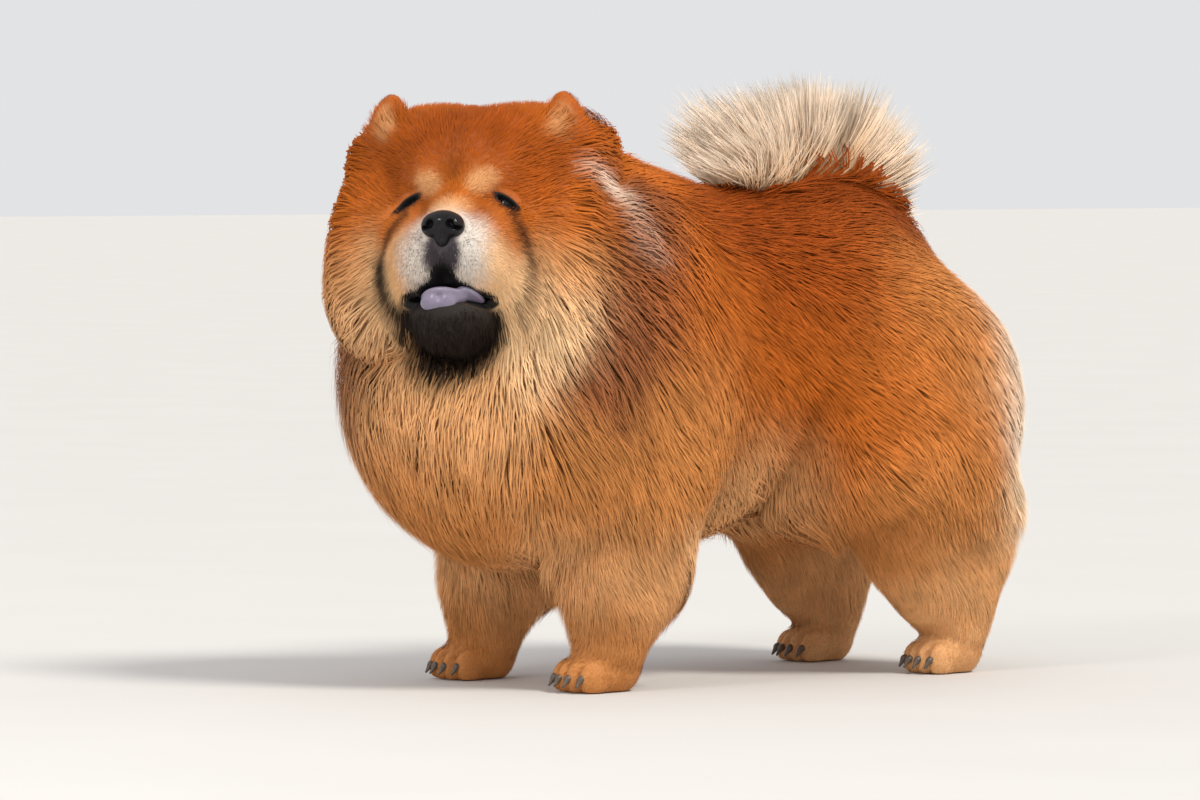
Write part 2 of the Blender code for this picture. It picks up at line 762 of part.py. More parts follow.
def lying_locks(guide, coat, roots, rng):
    """Locks that run from their roots along the lie of the hair, over the guide, and rise to the tips."""
    depth = coat.depth(roots)
    length = np.clip(1.5 * depth + 0.035, 0.055, 0.135) * rng.uniform(0.88, 1.12, len(roots))
    width = length * rng.uniform(0.46, 0.58, len(roots))
    rise = (1 - CORE_SHARE) * depth * rng.uniform(0.85, 1.05, len(roots))
    sway = rng.normal(0, 0.10, (len(roots), 3))
    place = roots - slope_of(guide, roots) * guide(roots)[:, None]
    paths, outs, before = [], [], 0.0
    for stop in STOPS:
        out = slope_of(guide, place)
        ahead = coat.lie(place) + sway
        ahead = unit(ahead - (ahead * out).sum(axis=1)[:, None] * out)
        place = place + ahead * (length * (stop - before))[:, None]
        before = stop
        out = slope_of(guide, place)
        place = place - out * guide(place)[:, None]
        ease = 1 - (1 - stop) ** 2
        height = -ROOT_DEPTH + (rise + ROOT_DEPTH) * ease
        paths.append(place + out * height[:, None])
        outs.append(out)
    paths, outs = np.stack(paths, 1), np.stack(outs, 1)
    steps = unit(np.diff(paths, axis=1))
    along_lie = (steps[:, -1] * unit(coat.lie(place))).sum(axis=1)
    straight = (steps[:, -1] * steps[:, 1]).sum(axis=1)
    true = np.maximum(along_lie, straight) > 0.55
    return Locks(paths[true], outs[true], width[true], STOP_WIDTHS)


def plume_locks(rng, count, layers):
    """Locks that stand out from the curled tail like a fan, in layers from its right side to its left."""
    paths, outs, widths = [], [], []
    middle = np.array([0, *TAIL_CURL])
    for tilt in np.radians(np.linspace(-PLUME_LEAN, PLUME_LEAN, layers)):
        for angle in np.radians(np.linspace(*PLUME_SWEEP, count) + rng.normal(0, 3, count)):
            spoke = np.array([0, math.cos(angle), math.sin(angle)])
            round_it = np.array([0, -math.sin(angle), math.cos(angle)])
            turned = tilt + rng.normal(0, 0.06)
            ahead = spoke * math.cos(turned) + np.array([math.sin(turned), 0, 0])
            length = PLUME_LENGTH * rng.uniform(0.90, 1.05) * min(0.55 + 0.5 * abs(angle), 1.1)
            root = middle + spoke * PLUME_ROOT
            paths.append([root + ahead * length * stop + round_it * PLUME_BEND * stop**2 for stop in STOPS])
            outs.append([unit(np.cross(ahead, round_it))] * len(STOPS))
            widths.append(PLUME_WIDTH * rng.uniform(0.9, 1.1))
    return Locks(np.array(paths), np.array(outs), np.array(widths), PLUME_WIDTHS)


# Finishes: name, colour and roughness

RED_COAT = ("red coat", (0.40, 0.135, 0.035), 0.8)
CREAM_COAT = ("cream coat", (0.72, 0.52, 0.34), 0.8)
GOLD_COAT = ("golden coat", (0.58, 0.29, 0.10), 0.8)
NOSE_LEATHER = ("nose leather", (0.012, 0.012, 0.014), 0.3)
DARK_COAT = ("dark coat", (0.05, 0.035, 0.03), 0.7)
TONGUE = ("tongue", (0.26, 0.22, 0.33), 0.35)
EYE = ("eye", (0.02, 0.010, 0.006), 0.05)
HORN = ("horn", (0.10, 0.07, 0.05), 0.4)


def finish(thing, look):
    name, colour, roughness = look
    material = bpy.data.materials.get(name) or bpy.data.materials.new(name)
    material.use_nodes = True
    shader = material.node_tree.nodes["Principled BSDF"]
    shader.inputs["Base Color"].default_value = (*colour, 1)
    shader.inputs["Roughness"].default_value = roughness
    thing.data.materials.clear()
    thing.data.materials.append(material)
    thing.data.shade_smooth()
    thing.data.set_sharp_from_angle(angle=math.radians(40))


# The dog


class Dog:
    """The nodes as they are made. Each is cut clear of those made before it that it meets."""

    def __init__(self):
        self.rng = np.random.default_rng(SEED)
        self.forms = flesh()
        self.guide = blended(list(self.forms.values()), 0.02)
        self.cores = {}
        self.locks = {}

    def lying(self, kind, coat, covers):
        """What makes the locks of a node once its mesh is there, on the places that no cover hides."""

        def made(thing):
            roots = open_places(thing, self.rng, LOCKS[kind], covers)
            return lying_locks(self.guide, coat, roots, self.rng)

        return made

    def fanned(self):
        """What makes the locks of the tail."""
        return lambda thing: plume_locks(self.rng, PLUME_ROW, PLUME_LAYERS)

    def add(self, name, look, form, inside, floor=None, locks=None, parts=None, cuts=None, meets=()):
        """Makes a node, once more with a few triangles more or fewer where an edge of it lies on another."""
        kind = "claw" if "claw" in name else name.split("_")[0]
        step, triangles = DETAIL[kind]
        surface = surface_of(form, *box_round(form, inside), step)
        for attempt in range(MOST_TRIES):
            core = thinned(name, *surface, triangles + 6 * attempt)
            if floor is not None:
                combine(core, [below(floor)], "DIFFERENCE")
            thing = self.fused(core, locks, parts, cuts, meets)
            if is_sound(thing):
                core.name = name + "_core"
                thing.name = name
                finish(thing, look)
                return
            bpy.data.objects.remove(core)
            bpy.data.objects.remove(thing)
        raise ValueError(name + " touches itself")

    def fused(self, core, locks, parts, cuts, meets):
        """The core with its locks and parts joined to it, cut by its hollows and by the nodes that it meets."""
        name = core.name
        self.cores[name] = core
        thing = core.copy()
        thing.data = core.data.copy()
        bpy.context.scene.collection.objects.link(thing)
        joined = parts() if parts else []
        if locks is not None:
            self.locks[name] = locks(thing)
            joined += self.locks[name].meshes()
        combine(thing, joined, "UNION")
        places = triangles_in(thing)[0]
        others = cuts() if cuts else []
        for other in meets:
            others.append(grown_copy(self.cores[other]))
            if other in self.locks:
                others += self.locks[other].cutters(places.min(axis=0), places.max(axis=0))
        combine(thing, others, "DIFFERENCE")
        keep_largest(thing)
        return thing


SIDES = ((1, "left"), (-1, "right"))


def flesh():
    """The form of each part that bears locks, with the flesh's share of its coat."""
    forms = {
        "head": with_coat(head_form(), HEAD_COAT, CORE_SHARE),
        "neck": with_coat(blended(neck_masses(), 0.03), BODY_COAT, CORE_SHARE),
        "torso": with_coat(blended(torso_masses(), 0.03), BODY_COAT, CORE_SHARE),
    }
    for side, word in SIDES:
        forms["foreleg_" + word] = with_coat(blended(foreleg_masses(side), 0.03), BODY_COAT, CORE_SHARE)
        forms["hindleg_" + word] = with_coat(blended(hindleg_masses(side), 0.03), BODY_COAT, CORE_SHARE)
    return forms


def eyes(dog):
    for side, word in SIDES:
        eye = ellipsoid("eye_" + word, on_head(*beside(EYE_AT, side)), [EYE_RADIUS] * 3)
        finish(eye, EYE)
        dog.cores[eye.name] = grown_copy(eye, 0)


def face(dog):
    dog.add("tongue", TONGUE, tongue_form(), on_head(0.10, 0, -0.104))
    hidden = [(bare_face, 0), (bare_crown, 0), (dog.forms["neck"], 0)]
    locks = dog.lying("head", HEAD_COAT, hidden)
    meets = ("eye_left", "eye_right", "tongue")
    dog.add("head", RED_COAT, dog.forms["head"], on_head(0, 0, 0), None, locks, lids, eye_openings, meets)
    dog.add("nose", NOSE_LEATHER, nose_form(), on_head(*NOSE_AT), cuts=nostrils, meets=("head",))
    jaw = with_layer(jaw_form(), CHIN_COAT)
    dog.add("jaw", DARK_COAT, jaw, on_head(0.05, 0, -0.125), meets=("tongue", "head"))
    for side, word in SIDES:
        ear = with_layer(ear_form(side), EAR_COAT)
        dog.add("ear_" + word, RED_COAT, ear, on_head(*beside(EAR_AT, side)), meets=("head",))


def bare_face(points):
    """Negative on the face, where the coat is too short for locks."""
    face = head_ball((0.085, 0, -0.050), (0.090, 0.084, 0.110))(points)
    chin = head_ball((0.060, 0, -0.130), (0.080, 0.065, 0.060))(points)
    return np.minimum(face, chin)


def bare_crown(points):
    """Negative on the crown and the ears, where the coat is a short plush."""
    ears = [head_ball(beside(EAR_AT, side), (0.045, 0.040, 0.060))(points) for side in (1, -1)]
    return np.minimum(head_ball((0.045, 0, 0.070), (0.095, 0.105, 0.080))(points), np.minimum(*ears))


def lids():
    return [ellipsoid("lid", on_head(*beside(EYE_AT, side)), [LID_RADIUS] * 3) for side in (1, -1)]


def eye_openings():
    """The almond gaps between the lids, each lower at its outer end."""
    f, l, u = EYE_AT
    made = []
    for side in (1, -1):
        lean = side * math.radians(-36)
        cos, sin = math.cos(lean), math.sin(lean)
        across = np.array([[1, 0, 0], [0, cos, sin], [0, -sin, cos]])
        place = on_head(f + 0.012, side * (l + 0.002), u)
        made.append(ellipsoid("opening", place, (0.0080, 0.0105, 0.0042), across @ HEAD_AXES))
    return made


def nostrils():
    f, _, u = NOSE_AT
    places = [on_head(f + 0.0155, side * 0.0115, u + 0.001) for side in (1, -1)]
    return [ellipsoid("nostril", place, (0.0060, 0.0036, 0.0044), around=8, along=6) for place in places]


def trunk(dog):
    forms = dog.forms
    legs = [(forms[f"{leg}_{word}"], 0.012) for leg in ("foreleg", "hindleg") for _, word in SIDES]
    locks = dog.lying("neck", BODY_COAT, [(forms["head"], 0), (forms["torso"], 0.012), *legs])
    dog.add("neck", RED_COAT, forms["neck"], (0.01, -0.24, 0.43), locks=locks, meets=("head", "jaw"))
    locks = dog.lying("torso", BODY_COAT, [(forms["head"], -0.02), (forms["neck"], -0.01), *legs])
    dog.add("torso", RED_COAT, forms["torso"], (0, 0, 0.38), locks=locks, meets=("head", "jaw", "neck"))
    tail = with_layer(blended(tail_masses(), 0.02), TAIL_SHARE * TAIL_HAIR)
    dog.add("tail", CREAM_COAT, tail, tail_line(0.5), locks=dog.fanned(), meets=("torso", "neck"))


def legs(dog):
    forms = dog.forms
    hidden = [(forms["neck"], 0), (forms["torso"], 0), (low_on_leg, 0)]
    for side, word in SIDES:
        x = side * LEG_SPREAD
        name = "foreleg_" + word
        locks = dog.lying("foreleg", BODY_COAT, hidden)
        meets = ("head", "neck", "torso") + (("foreleg_left",) if side < 0 else ())
        dog.add(name, GOLD_COAT, forms[name], (x, FORE_Y, 0.20), ANKLE, locks, meets=meets)
        name = "hindleg_" + word
        locks = dog.lying("hindleg", BODY_COAT, hidden)
        meets = ("torso", "tail") + (("hindleg_left",) if side < 0 else ())
        dog.add(name, GOLD_COAT, forms[name], (x, HIND_Y, 0.20), ANKLE, locks, meets=meets)


def low_on_leg(points):
    """Negative where a leg's coat is too short for locks."""
    return points[:, 2] - SHORT_BELOW


def paws(dog):
    for side, word in SIDES:
        for paw, leg in (("forepaw", "foreleg"), ("hindpaw", "hindleg")):
            name = paw + "_" + word
            middle = (side * LEG_SPREAD, PAWS[paw][0], 0.02)
            dog.add(name, GOLD_COAT, paw_form(side, paw), middle, floor=0, meets=(f"{leg}_{word}",))
            for number, toe in enumerate(TOES, 1):
                inside = toe_place(side, paw, toe) + np.array([0, -0.014, 0])
                dog.add(f"{name}_claw_{number}", HORN, claw_form(side, paw, toe), inside, meets=(name,))


def centre_on_floor():
    """Moves the whole dog so that the middle of its box is over the origin. Its soles are at z = 0."""
    places = np.array([vertex.co for thing in bpy.data.objects for vertex in thing.data.vertices])
    middle = (places.min(axis=0) + places.max(axis=0)) / 2
    for thing in bpy.data.objects:
        thing.location = (-middle[0], -middle[1], 0)


def build():
    for thing in list(bpy.data.objects):
        bpy.data.objects.remove(thing)
    dog = Dog()
    eyes(dog)
    face(dog)
    trunk(dog)
    legs(dog)
    paws(dog)
    for core in dog.cores.values():
        bpy.data.objects.remove(core)
    centre_on_floor()


build()
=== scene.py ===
# %% [markdown]
# # A chow chow, from the skin out
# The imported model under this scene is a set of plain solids: a head, a neck, a torso, legs. Real dogs have no
# such borders. This lesson grows one skin over all of them, then sets the eyes, nose and tongue in the head,
# and then plants about two hundred thousand tufts of hair along the lie of the coat. Everything is measured
# in metres, in the same frame as the solids, so nothing has to be fitted afterwards.

# %% Load the solids
import itertools
import math

import bmesh
import bpy
import numpy as np
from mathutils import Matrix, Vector
from mathutils.bvhtree import BVHTree


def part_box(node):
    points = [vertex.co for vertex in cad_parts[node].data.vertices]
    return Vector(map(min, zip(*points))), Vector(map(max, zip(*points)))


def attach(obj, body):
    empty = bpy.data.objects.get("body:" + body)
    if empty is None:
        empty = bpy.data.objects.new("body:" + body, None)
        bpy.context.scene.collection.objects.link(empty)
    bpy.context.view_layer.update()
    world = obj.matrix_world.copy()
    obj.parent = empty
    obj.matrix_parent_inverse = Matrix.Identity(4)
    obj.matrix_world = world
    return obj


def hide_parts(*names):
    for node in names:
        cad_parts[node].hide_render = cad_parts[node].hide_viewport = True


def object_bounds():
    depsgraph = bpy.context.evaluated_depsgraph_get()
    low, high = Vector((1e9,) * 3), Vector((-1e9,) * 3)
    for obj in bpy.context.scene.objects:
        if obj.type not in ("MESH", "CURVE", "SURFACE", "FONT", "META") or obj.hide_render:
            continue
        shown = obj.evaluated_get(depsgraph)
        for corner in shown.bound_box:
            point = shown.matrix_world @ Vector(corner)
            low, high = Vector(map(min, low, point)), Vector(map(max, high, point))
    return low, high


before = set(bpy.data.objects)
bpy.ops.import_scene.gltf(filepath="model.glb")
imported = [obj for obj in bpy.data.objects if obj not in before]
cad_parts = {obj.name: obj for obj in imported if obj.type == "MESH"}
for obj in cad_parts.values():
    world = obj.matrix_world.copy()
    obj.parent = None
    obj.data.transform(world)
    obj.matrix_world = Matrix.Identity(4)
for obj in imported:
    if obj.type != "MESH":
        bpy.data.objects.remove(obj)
SOLID_BOX = [[float(value) for value in corner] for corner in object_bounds()]
NODES = list(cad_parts)

# %% [markdown]
# ## The head's own frame
# A dog holds its head turned and tilted, and it is hard to think about an eye in slanted coordinates. So the
# head gets a frame of its own: forward, left and up from its middle. A small matrix turns places given that
# way into places on the body. The solids were moved to stand over the origin, so the shift is found once from
# the left eye, whose place on the head is known.

# %% Frames and places
HEAD_AT = (0.021, -0.308, 0.521)
HEAD_TURN = math.radians(39)
HEAD_RAISE = math.radians(6)
HEAD_TILT = math.radians(1)
EYE_AT = (0.0655, 0.0490, -0.0030)
NOSE_AT = (0.1330, 0.0, -0.0300)
EAR_AT = (0.0020, 0.0940, 0.0780)
MOUTH_AT = (0.0860, 0.0, -0.1000)
SIDES = ((1, "left"), (-1, "right"))


def unit(vectors):
    return vectors / np.maximum(np.linalg.norm(vectors, axis=-1, keepdims=True), 1e-9)


def head_axes():
    """Forward, left and up of the head, one in each row."""
    level_part = math.cos(HEAD_RAISE)
    forward = np.array(
        [math.sin(HEAD_TURN) * level_part, -math.cos(HEAD_TURN) * level_part, math.sin(HEAD_RAISE)]
    )
    level = np.array([math.cos(HEAD_TURN), math.sin(HEAD_TURN), 0.0])
    left = level * math.cos(HEAD_TILT) + np.cross(forward, level) * math.sin(HEAD_TILT)
    return np.stack([forward, left, np.cross(forward, left)])


HEAD_AXES = head_axes()


def on_head(forward, left, up):
    """A place given in the head's own frame, in the frame of the body."""
    return np.array([forward, left, up]) @ HEAD_AXES + np.array(HEAD_AT)


def in_head(points):
    """Places of the body, given in the head's own frame."""
    return (points - np.array(HEAD_AT)) @ HEAD_AXES.T


def beside(place, side):
    """The same place on the dog's left (1) or right (-1)."""
    return (place[0], side * place[1], place[2])


eye_low, eye_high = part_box("eye_left")
SHIFT = (np.array(eye_low) + np.array(eye_high)) / 2 - on_head(*EYE_AT)
print("the solids stand", SHIFT.round(4), "from where they were designed")

# %% [markdown]
# ## Masses
# Flesh is soft, and where two muscles meet there is a rounded valley, not an edge. A handy way to get that
# is to describe each mass as a function that says how far a point is from its surface, and to blend the
# functions. Balls and tapered bars are enough for a dog. Hollows are blended in the same way with the sign
# turned round, and creases press a soft line into whatever is there.

# %% Masses as distances


def ball(centre, radii, axes=np.eye(3)):
    """An ellipsoid. Each row of axes is the direction of one radius."""
    centre, radii = np.array(centre, float), np.array(radii, float)

    def distance(points):
        local = (points - centre) @ axes.T
        near = np.linalg.norm(local / radii, axis=1)
        slope = np.linalg.norm(local / radii**2, axis=1)
        return near * (near - 1) / np.maximum(slope, 1e-9)

    return distance


def head_ball(centre, radii):
    return ball(on_head(*centre), radii, HEAD_AXES)


def turned_ball(centre, radii, roll, pitch=0.0):
    """On the head, leaned outward by roll and back by pitch, both in radians."""
    lean = np.array([[1, 0, 0], [0, math.cos(roll), -math.sin(roll)], [0, math.sin(roll), math.cos(roll)]])
    cos, sin = math.cos(pitch), math.sin(pitch)
    back = np.array([[cos, 0, sin], [0, 1, 0], [-sin, 0, cos]])
    return ball(on_head(*centre), radii, lean @ back @ HEAD_AXES)


def beside_bar(points, start, end):
    """How far along a bar each point lies, from 0 to 1, and how far away from its middle line."""
    along = end - start
    share = np.clip((points - start) @ along / (along @ along), 0, 1)
    return share, np.linalg.norm(points - start - share[:, None] * along, axis=1)


def limb(start, end, start_radius, end_radius):
    """A round bar with round ends that tapers from one radius to the other."""
    start, end = np.array(start, float), np.array(end, float)

    def distance(points):
        share, away = beside_bar(points, start, end)
        return away - (start_radius + (end_radius - start_radius) * share)

    return distance


def joined(total, other, softness):
    """Two distances as one, with a rounded valley between the forms."""
    mix = np.clip(0.5 + 0.5 * (other - total) / softness, 0, 1)
    return other * (1 - mix) + total * mix - softness * mix * (1 - mix)


def blended(masses, softness):
    def distance(points):
        total = masses[0](points)
        for mass in masses[1:]:
            total = joined(total, mass(points), softness)
        return total

    return distance


def carved(body, hollows, softness):
    """The body with rounded hollows taken out of it."""
    hollow = blended(hollows, softness)
    return lambda points: -joined(-body(points), hollow(points), softness)


def near_line(points, line, width):
    """1 on a line of places, falling softly to 0 about two widths away."""
    found = np.zeros(len(points))
    for start, end in itertools.pairwise(np.asarray(line, float)):
        _, away = beside_bar(points, start, end)
        found = np.maximum(found, np.exp(-((away / width) ** 2)))
    return found


# %% [markdown]
# ## The body under the coat
# These are the dog's real masses: rib cage, chest, loins and croup, then the neck, the upper and lower legs,
# and the paws with their four toes. They repeat the sizes that the solids were made from, so the skin stays
# inside them. The tail of a chow is a short curl that lies over the back.

# %% Trunk, legs and tail
LEG_SPREAD = 0.117
FORE_Y = -0.200
HIND_Y = 0.262
PAWS = {"forepaw": (FORE_Y - 0.012, 1.0), "hindpaw": (HIND_Y + 0.004, 0.92)}
TOES = (-1.5, -0.5, 0.5, 1.5)
TAIL_CURL = (0.150, 0.492)  # the middle of the curl, seen from the side
TAIL_SPAN = 0.082
TAIL_RISE = 0.068
TAIL_FROM, TAIL_TURN = -42, 232  # degrees
TAIL_THICK = (0.036, 0.024)
TAIL_STATIONS = 9


def trunk_masses():
    return [
        ball((0, -0.100, 0.365), (0.130, 0.190, 0.135)),
        ball((0, -0.238, 0.325), (0.115, 0.105, 0.125)),
        ball((0, 0.070, 0.385), (0.115, 0.160, 0.105)),
        ball((0, 0.165, 0.372), (0.110, 0.128, 0.115)),
        ball((0, 0.150, 0.425), (0.085, 0.094, 0.079)),
        ball((0.008, -0.240, 0.428), (0.105, 0.110, 0.120)),
        limb((0.004, -0.200, 0.420), on_head(-0.045, 0, -0.030), 0.105, 0.082),
    ]


def leg_masses(side):
    x = side * LEG_SPREAD
    return [
        ball((side * 0.100, FORE_Y + 0.030, 0.320), (0.060, 0.080, 0.100)),
        limb((side * 0.108, FORE_Y + 0.022, 0.270), (x, FORE_Y + 0.008, 0.110), 0.054, 0.038),
        limb((x, FORE_Y + 0.008, 0.110), (x, FORE_Y - 0.002, 0.048), 0.038, 0.036),
        ball((side * 0.085, 0.205, 0.298), (0.068, 0.100, 0.115)),
        limb((side * 0.100, 0.200, 0.235), (x, HIND_Y + 0.022, 0.145), 0.060, 0.039),
        limb((x, HIND_Y + 0.022, 0.145), (x, HIND_Y + 0.016, 0.050), 0.036, 0.032),
        limb((side * 0.105, 0.172, 0.225), (x, HIND_Y - 0.026, 0.085), 0.046, 0.030),
    ]


def toe_place(side, paw, toe):
    """The middle of a toe. The two inner ones reach furthest."""
    y, size = PAWS[paw]
    reach = (0.0360 - 0.0055 * abs(toe)) * size
    return np.array([side * LEG_SPREAD + toe * 0.0165 * size, y - reach, 0.0160])


def paw_form(side, paw):
    y, size = PAWS[paw]
    x = side * LEG_SPREAD
    masses = [
        ball((x, y + 0.004, 0.026), (0.034 * size, 0.040 * size, 0.034)),
        ball((x, y - 0.012, 0.020), (0.034 * size, 0.030 * size, 0.027)),
        limb((x, y + 0.010, 0.030), (x, y + 0.014, 0.056), 0.033 * size, 0.034 * size),
    ]
    for toe in TOES:
        masses.append(ball(toe_place(side, paw, toe), (0.0105 * size, 0.0190 * size, 0.0190)))
    return blended(masses, 0.004)


def tail_line(share):
    """A point on the tail, from its root on the croup, up and over to its tip above the back."""
    angle = math.radians(TAIL_FROM + TAIL_TURN * share)
    y = TAIL_CURL[0] + TAIL_SPAN * math.cos(angle)
    return (0.0, y, TAIL_CURL[1] + TAIL_RISE * math.sin(angle))


def tail_form():
    stations = [tail_line(share) for share in np.linspace(0, 1, TAIL_STATIONS)]
    thick = np.linspace(*TAIL_THICK, TAIL_STATIONS)
    pairs = zip(itertools.pairwise(stations), itertools.pairwise(thick))
    return blended([limb(*ends, *radii) for ends, radii in pairs], 0.02)


body_form = blended(trunk_masses() + leg_masses(1) + leg_masses(-1), 0.03)
curl_form = tail_form()
paws_form = blended([paw_form(side, paw) for side, _ in SIDES for paw in PAWS], 0.004)
print("body from", len(trunk_masses()) + 2 * len(leg_masses(1)), "masses")

# %% [markdown]
# ## The head
# A chow's head is broad and flat above, with a short square muzzle, padded cheeks, small thick ears and deep
# set eyes under heavy brows. Each of those is a mass of its own. The mouth is a hollow between the upper lips
# and the jaw, with a notch under the nose where the two lips part.

# %% Head, jaw and ears


def head_masses():
    masses = [
        head_ball((0.000, 0, 0.014), (0.084, 0.092, 0.078)),
        head_ball((-0.006, 0.044, 0.056), (0.056, 0.052, 0.041)),
        head_ball((-0.006, -0.044, 0.056), (0.056, 0.052, 0.041)),
        head_ball((0.046, 0, 0.030), (0.036, 0.058, 0.040)),
        head_ball((0.030, 0, -0.070), (0.055, 0.055, 0.045)),
        limb(on_head(0.066, 0, -0.006), on_head(0.108, 0, -0.030), 0.034, 0.024),
        head_ball((0.094, 0, -0.052), (0.041, 0.050, 0.030)),
    ]
    for side in (1, -1):
        masses += [
            head_ball((0.063, side * 0.028, 0.024), (0.020, 0.024, 0.017)),
            head_ball((0.020, side * 0.070, -0.045), (0.060, 0.042, 0.066)),
            head_ball((0.060, side * 0.045, -0.042), (0.044, 0.034, 0.040)),
            head_ball((0.094, side * 0.033, -0.064), (0.042, 0.031, 0.035)),
            head_ball((0.070, side * 0.044, -0.078), (0.040, 0.026, 0.030)),
        ]
    return masses


def lid_masses():
    return [head_ball(beside(EYE_AT, side), [0.0145] * 3) for side in (1, -1)]


def mouth_hollows():
    return [
        head_ball(MOUTH_AT, (0.058, 0.040, 0.014)),
        head_ball((0.082, 0.034, -0.107), (0.046, 0.022, 0.010)),
        head_ball((0.082, -0.034, -0.107), (0.046, 0.022, 0.010)),
        head_ball((0.125, -0.002, -0.092), (0.022, 0.014, 0.022)),
    ]


def jaw_form():
    masses = [
        head_ball((0.082, 0, -0.124), (0.046, 0.042, 0.022)),
        head_ball((0.045, 0, -0.122), (0.052, 0.050, 0.028)),
        head_ball((0.080, 0, -0.134), (0.040, 0.036, 0.022)),
    ]
    trough = [head_ball((0.088, 0, -0.099), (0.034, 0.028, 0.016))]
    return carved(blended(masses, 0.014), trough, 0.004)


EAR_STANDS = (EAR_AT[0] + 0.008, EAR_AT[1] + 0.006, EAR_AT[2] + 0.003)  # clear of the plush of the crown


def ear_form(side):
    """A small thick ear that narrows to a round tip, with its cup to the front."""
    place = beside(EAR_STANDS, side)
    lean = -side * math.radians(14)
    outer = [
        turned_ball((place[0], place[1], place[2] - 0.006), (0.0150, 0.0240, 0.0375), lean),
        turned_ball((place[0] - 0.001, place[1], place[2] + 0.016), (0.0120, 0.0160, 0.0290), lean),
        head_ball((place[0] - 0.004, place[1] - side * 0.010, place[2] - 0.024), (0.022, 0.032, 0.028)),
    ]
    cup = [turned_ball((place[0] + 0.016, place[1], place[2] + 0.001), (0.0125, 0.0140, 0.0290), lean)]
    return carved(blended(outer, 0.010), cup, 0.004)


skull_form = carved(blended([blended(head_masses(), 0.014), *lid_masses()], 0.006), mouth_hollows(), 0.004)
chin_form = jaw_form()
ears_form = blended([ear_form(1), ear_form(-1)], 0.001)
print("head from", len(head_masses()) + len(lid_masses()), "masses")

# %% [markdown]
# ## Depth and lie of the coat
# Hair isn't the same all over: velvet on the muzzle, plush on the crown, a lion's ruff on the neck, trousers
# on the thighs. A few spots say how deep the coat is near them and which way the hair lies, and every other
# place takes a soft average of the spots around it. The skin, the tufts and the colours all ask this map.

# %% The map of the coat


class Coat:
    def __init__(self, spots):
        """Each spot has its place, its reach, the depth of the coat and the lie of the hair."""
        self.places = np.array([spot[0] for spot in spots], float)
        self.reaches = np.array([spot[1] for spot in spots])
        self.depths = np.array([spot[2] for spot in spots])
        self.lies = unit(np.array([spot[3] for spot in spots], float))

    def near(self, points):
        """How much each spot counts at each point."""
        away = (
            (points**2).sum(axis=1)[:, None] + (self.places**2).sum(axis=1) - 2 * points @ self.places.T
        ) / self.reaches**2
        weight = np.exp(-away) + 1e-9 / (1 + np.abs(away))
        return weight / weight.sum(axis=1)[:, None]


def head_spots():
    forward, left, up = HEAD_AXES
    spots = [
        (on_head(0.010, 0, 0.100), 0.06, 0.020, -forward + 0.6 * up),
        (on_head(-0.080, 0, 0.050), 0.06, 0.048, -forward + 0.1 * up),
        (on_head(0.110, 0, -0.020), 0.06, 0.005, -forward - 0.3 * up),
        (on_head(0.110, 0, -0.080), 0.05, 0.007, -0.5 * forward - up),
        (on_head(0.030, 0, -0.150), 0.06, 0.060, -up + 0.15 * forward),
    ]
    for side in (1, -1):
        out = side * left
        spots += [
            (on_head(0.055, side * 0.05, 0.045), 0.042, 0.012, -0.8 * forward + 0.5 * out + 0.4 * up),
            (on_head(0.085, side * 0.05, 0.000), 0.040, 0.002, -0.8 * forward + 0.5 * out),
            (on_head(0.075, side * 0.05, -0.060), 0.045, 0.009, -0.9 * forward + 0.3 * out - 0.5 * up),
            (on_head(0.020, side * 0.11, -0.030), 0.050, 0.050, -0.5 * forward + out - 0.3 * up),
            (on_head(-0.040, side * 0.10, 0.000), 0.065, 0.066, -0.8 * forward + 0.9 * out),
            (on_head(0.015, side * 0.09, -0.110), 0.055, 0.074, 0.6 * out - 0.2 * forward - 0.8 * up),
        ]
    return spots


def body_spots():
    spots = [
        ((0, 0.050, 0.500), 0.12, 0.058, (0, 1, -0.10)),
        ((0, -0.030, 0.230), 0.10, 0.096, (0, 0.35, -1)),
        ((0, 0.060, 0.240), 0.06, 0.105, (0, 0.35, -1)),
        ((0, 0.190, 0.250), 0.07, 0.030, (0, 0.35, -1)),
        ((0, -0.350, 0.290), 0.10, 0.094, (0, -0.15, -1)),
        ((0, -0.300, 0.200), 0.08, 0.078, (0, 0.05, -1)),
        ((0.01, -0.170, 0.550), 0.08, 0.082, (0, 1, 0.25)),
        ((0, 0.290, 0.470), 0.08, 0.046, (0, 1, -0.3)),
        (on_head(0, 0, 0.030), 0.10, 0.020, -HEAD_AXES[0]),
        (on_head(0.050, 0, -0.080), 0.09, 0.030, -HEAD_AXES[2]),
    ]
    for side in (1, -1):
        spots += [
            ((side * 0.13, 0.020, 0.360), 0.12, 0.046, (0, 0.8, -0.6)),
            ((side * 0.13, -0.250, 0.420), 0.09, 0.120, (side * 0.35, 0.55, -0.75)),
            ((side * 0.15, -0.170, 0.320), 0.08, 0.052, (side * 0.1, 0.45, -0.9)),
            ((side * 0.08, 0.330, 0.300), 0.09, 0.070, (side * 0.1, 0.60, -0.8)),
            ((side * 0.11, 0.160, 0.175), 0.045, 0.022, (0, 0.4, -0.9)),
            ((side * 0.15, 0.200, 0.300), 0.08, 0.050, (side * 0.1, 0.6, -0.8)),
            ((side * 0.12, 0.290, 0.130), 0.06, 0.020, (0, 0.4, -0.9)),
            ((side * 0.12, 0.270, 0.040), 0.05, 0.005, (0, 0.1, -1)),
            ((side * 0.12, -0.210, 0.130), 0.06, 0.022, (0, 0.35, -0.95)),
            ((side * 0.12, -0.140, 0.170), 0.05, 0.045, (0, 0.6, -0.8)),
            ((side * 0.12, -0.210, 0.040), 0.05, 0.005, (0, 0.1, -1)),
        ]
    return spots


